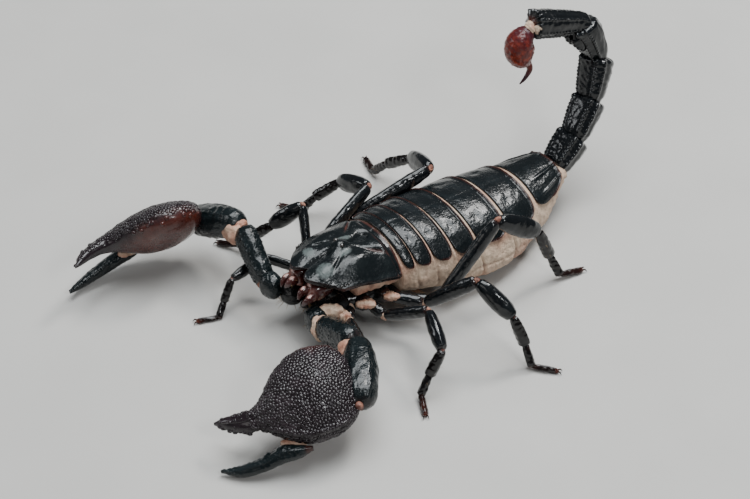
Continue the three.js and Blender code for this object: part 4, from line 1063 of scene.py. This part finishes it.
leg_finish = cuticle("leg shell", dark=(0.003, 0.004, 0.005), warm=(0.050, 0.014, 0.009),
                     sheen=(0.008, 0.011, 0.013), rough=0.11, pits=0.30, warmth=0.35, gloss=0.35)
foot_finish = cuticle("foot shell", dark=(0.003, 0.002, 0.002), warm=(0.10, 0.024, 0.014),
                      sheen=(0.006, 0.005, 0.005), rough=0.08, pits=0.20, warmth=0.4, gloss=0.3)
# for each pair, front to rear: femur, patella, tibia and the two foot joints
LEG_LENGTHS = ((10.7, 10.8, 6.6, 4.3, 5.7), (14.5, 11.6, 7.6, 5.5, 6.4), (18.2, 12.8, 8.6, 6.0, 6.8),
               (25.5, 14.5, 10.1, 6.6, 7.0))
LEG_DEPTHS = ((3.0, 3.4, 2.4, 2.0, 1.5), (3.5, 4.7, 3.1, 2.4, 1.7), (4.0, 5.4, 3.2, 2.4, 1.7),
              (4.3, 5.7, 3.1, 2.4, 1.8))
# each leg's hip, the headings and rises of its first four parts, and the heading of its toe
LEGS = {"left_1": ((12, -17.5, 10), (-20, 11), (-37, -35), (-121, -23), (-109, -23), -101),
        "left_2": ((15.5, -9, 9), (22, 32), (-21, -17), (-100, -62), (-84, -60), -29),
        "left_3": ((18.5, 1.5, 9.5), (30, 42), (21, -35), (29, -67), (-1, -61), 40),
        "left_4": ((18, 6.5, 7), (86, 46), (76, -35), (70, -69), (42, -64), 77),
        "right_1": ((-11, -14.5, 8.5), (-36, 10), (-94, -5), (-94, -64), (-117, -42), -67),
        "right_2": ((-13, -11.5, 8.5), (30, 47), (-45, -44), (-39, -42), (-32, -46), -28),
        "right_3": ((-15, -4.5, 11.5), (80, 20), (-5, -26), (-49, -40), (-50, -51), -22),
        "right_4": ((-16.7, 4.5, 11.2), (100, 18), (16, -27), (-14, -37), (-13, -47), 18)}
TOE_HEIGHT = 0.62
FOOT_FLATNESS = (0.84, 0.86, 0.92)
LAST_JOINT = 2
hooks = Form()
for name, (hip, *bends, toe) in LEGS.items():
    side = 1 if name.startswith("left") else -1
    pair = int(name[-1]) - 1
    lengths, depths = LEG_LENGTHS[pair], LEG_DEPTHS[pair]
    joints = [np.array(hip, float)]
    for length, bend in zip(lengths, bends):
        joints.append(joints[-1] + aim(side, *bend) * length)
    drop = math.degrees(math.asin((joints[-1][2] - TOE_HEIGHT) / lengths[-1]))
    joints.append(joints[-1] + aim(side, toe, -drop) * lengths[-1])

    coxa = np.array(LEG_BASES[name], float)
    thigh = Form()
    rings, s, t = sweep([coxa, joints[0]], [(0, 2.6, 2.5), (0.4, 3.3, 3.0), (0.8, 3.2, 2.8), (1, 2.4, 2.2)],
                        rows=40, sides=40, head=0.12, tail=0.2, boxy=1.0)
    thigh.tube(emboss(rings, 0.05 * ripple(rings, 1.2, pair)), edge=ramp(s, 0.7, 3))
    rings, s, t = sweep([joints[0], joints[1]],
                        [(0, 0.62, 0.54), (0.12, 0.86, 0.66), (0.5, 1, 0.74), (0.86, 0.95, 0.72),
                         (1, 0.78, 0.58)],
                        size=(depths[0], depths[0]), rows=70, sides=48, head=0.06, tail=0.08, boxy=0.98)
    saw = 0.16 * keel(t, 270, 12) * (0.6 + 0.4 * np.sin(s * lengths[0] * 9)) + 0.10 * keel(t, 90, 12)
    saw = saw * ramp(s, 0, 6)
    thigh.tube(emboss(rings, saw + 0.04 * ripple(rings, 1.8, 5) + 0.09 * crest(s, 0.96, 0.02)),
               edge=np.clip((s - 0.9) * 8, 0, 0.9), sown=0.7 * keel(t, 270, 30) * (s > 0.1))
    made = thigh.piece(f"leg_{name}_thigh", leg_finish)
    sow(made, GRANULES, leg_finish, spacing=0.6, size=0.10, seed=70 + pair)
    fit(made, "shell", f"leg_{name}_femur")
    hip_run = unit(joints[0] - coxa)
    thigh_run = unit(joints[1] - joints[0])
    knee_run = unit(joints[2] - joints[1])
    knot(coxa, joints[0] - coxa, length=2.6, tall=2.8, wide=2.6, tone=0.35, seed=20)
    knot(joints[0], hip_run + thigh_run, length=2.5, tall=2.2, wide=1.9, tone=0.5, seed=21)

    rings, s, t = sweep([joints[1], joints[2]],
                        [(0, 0.46, 0.42), (0.12, 0.70, 0.58), (0.5, 1, 0.76), (0.76, 0.96, 0.74),
                         (0.93, 0.72, 0.58), (1, 0.54, 0.46)],
                        size=(depths[1], depths[1]), rows=64, sides=48, head=0.07, tail=0.08, boxy=1.0)
    relief = 0.12 * keel(t, 90, 14) * ramp(s, 0, 5) + 0.10 * keel(t, 270, 14)
    rings = emboss(rings, relief + 0.04 * ripple(rings, 1.8, 6) + 0.08 * crest(s, 0.95, 0.025))
    shin = Form().tube(rings, edge=np.clip(ramp(s, 0.9, 8) + 0.5 * keel(t, 270, 20), 0, 1),
                       sown=0.6 * keel(t, 270, 30))
    made = shin.piece(f"leg_{name}_patella_shell", leg_finish)
    sow(made, GRANULES, leg_finish, spacing=0.65, size=0.09, seed=80 + pair)
    fit(made, "shell", f"leg_{name}_patella")
    knot(joints[1], thigh_run + knee_run, length=1.7 + 0.2 * pair, tall=0.42 * depths[0],
         wide=0.34 * depths[0], tone=1.3, seed=22)

    foot = Form()
    for k, (bulk, flat) in enumerate(zip(depths[2:], FOOT_FLATNESS)):
        start, end = joints[2 + k], joints[3 + k]
        run = unit(end - start)
        overlap, blunt = (0, 0.16) if k == LAST_JOINT else (0.25 * run, 0.10)
        rings, s, t = sweep([start - 0.35 * run, end + overlap],
                            [(0, 0.60, 0.56), (0.15, 0.8, flat * 0.85), (0.6, 1, flat),
                             (0.9, 0.96, flat * 0.95), (1, 0.8, flat * 0.8)],
                            size=(bulk, bulk), rows=44, sides=36, head=0.09, tail=blunt, boxy=1.0)
        relief = 0.07 * ripple(rings, 1.4, 7 + k) + 0.12 * keel(t, 90, 12) + 0.12 * keel(t, 0, 12)
        rings = emboss(rings, relief + 0.12 * keel(t, 180, 12) + 0.09 * crest(s, 0.92, 0.04))
        rings[..., 2] = np.maximum(rings[..., 2], 0.02)
        foot.tube(rings, edge=np.clip((s - 0.85) * 4, 0, 0.6) + 0.22 * k,
                  sown=0.8 * keel(t, 270, 45) * (s > 0.1) + 0.06)
        knot(start, end - start, length=1.0, tall=0.44 * bulk, wide=0.40 * bulk, tone=1.6, seed=30 + k,
             rows=14, sides=16)
    made = foot.piece(f"leg_{name}_foot_shell", foot_finish)
    sow(made, BRISTLES, bristle_finish, spacing=1.1, size=0.75, seed=90 + pair, lean=0.45)
    fit(made, "foot_shell", f"leg_{name}_foot")

    ahead = unit(joints[-1] - joints[-2])
    beside = unit(np.cross((0, 0, 1), ahead))
    for spread in (-1, 1):
        root = joints[-1] - 0.35 * ahead + 0.22 * spread * beside
        tip = root + 1.25 * ahead + 0.55 * spread * beside
        tip[2] = 0.16
        rise = 0.5 * (root + tip) + (0, 0, 0.55)
        rings, s, t = sweep([root, rise, tip], [(0, 0.5, 0.42), (0.5, 0.38, 0.32), (1, 0.1, 0.1)],
                            rows=22, sides=14, tail=0.03)
        hooks.tube(rings, edge=1 - s)
fit(hooks.piece("foot_claws", foot_finish), "foot_shell")


# ------------------------------------------------------------------------------------------------
# Skin finish. The gathered skin is made one piece here, once every joint has added its cuff. It is
# soft and cream, redder and browner where it is worn, and darker in its folds, creases and under the
# shield, where shade is painted.

hide_finish = Finish("cream joint skin", Roughness=0.5, Specular_IOR_Level=0.35)
raw_tone = hide_finish.mark("tone") + 0.35 * (hide_finish.cloud(3, 4) - 0.5)
hide_colour = hide_finish.blend(raw_tone.between(0, 1), (0.56, 0.43, 0.32), (0.42, 0.20, 0.135))
hide_colour = hide_finish.blend(raw_tone.between(0.9, 1.6), hide_colour, (0.11, 0.035, 0.025))
veins = hide_finish.cloud(1.1, 5).between(0.50, 0.70) * 0.5
hide_colour = hide_finish.blend(veins, hide_colour, (0.27, 0.17, 0.13))
# painted shade: the cream is darkened towards brown where the skin's shade mark says, in folds, creases and
# under the shield
folded = (hide_finish.mark("fold") * (0.6 + 0.8 * hide_finish.cloud(0.9, 4))).between(0.15, 1)
hide_finish.feed(Base_Color=hide_finish.blend(folded * 0.7, hide_colour, (0.16, 0.09, 0.07)))
wrinkles = hide_finish.cells(0.7, 0.5) * 0.7 + hide_finish.cloud(0.45, 5) + hide_finish.cloud(2.0, 3) * 0.7
hide_finish.wear(wrinkles, strength=0.55, depth=0.35)
fit(skin.piece("joint_skin", hide_finish), "membrane", "mesosoma")
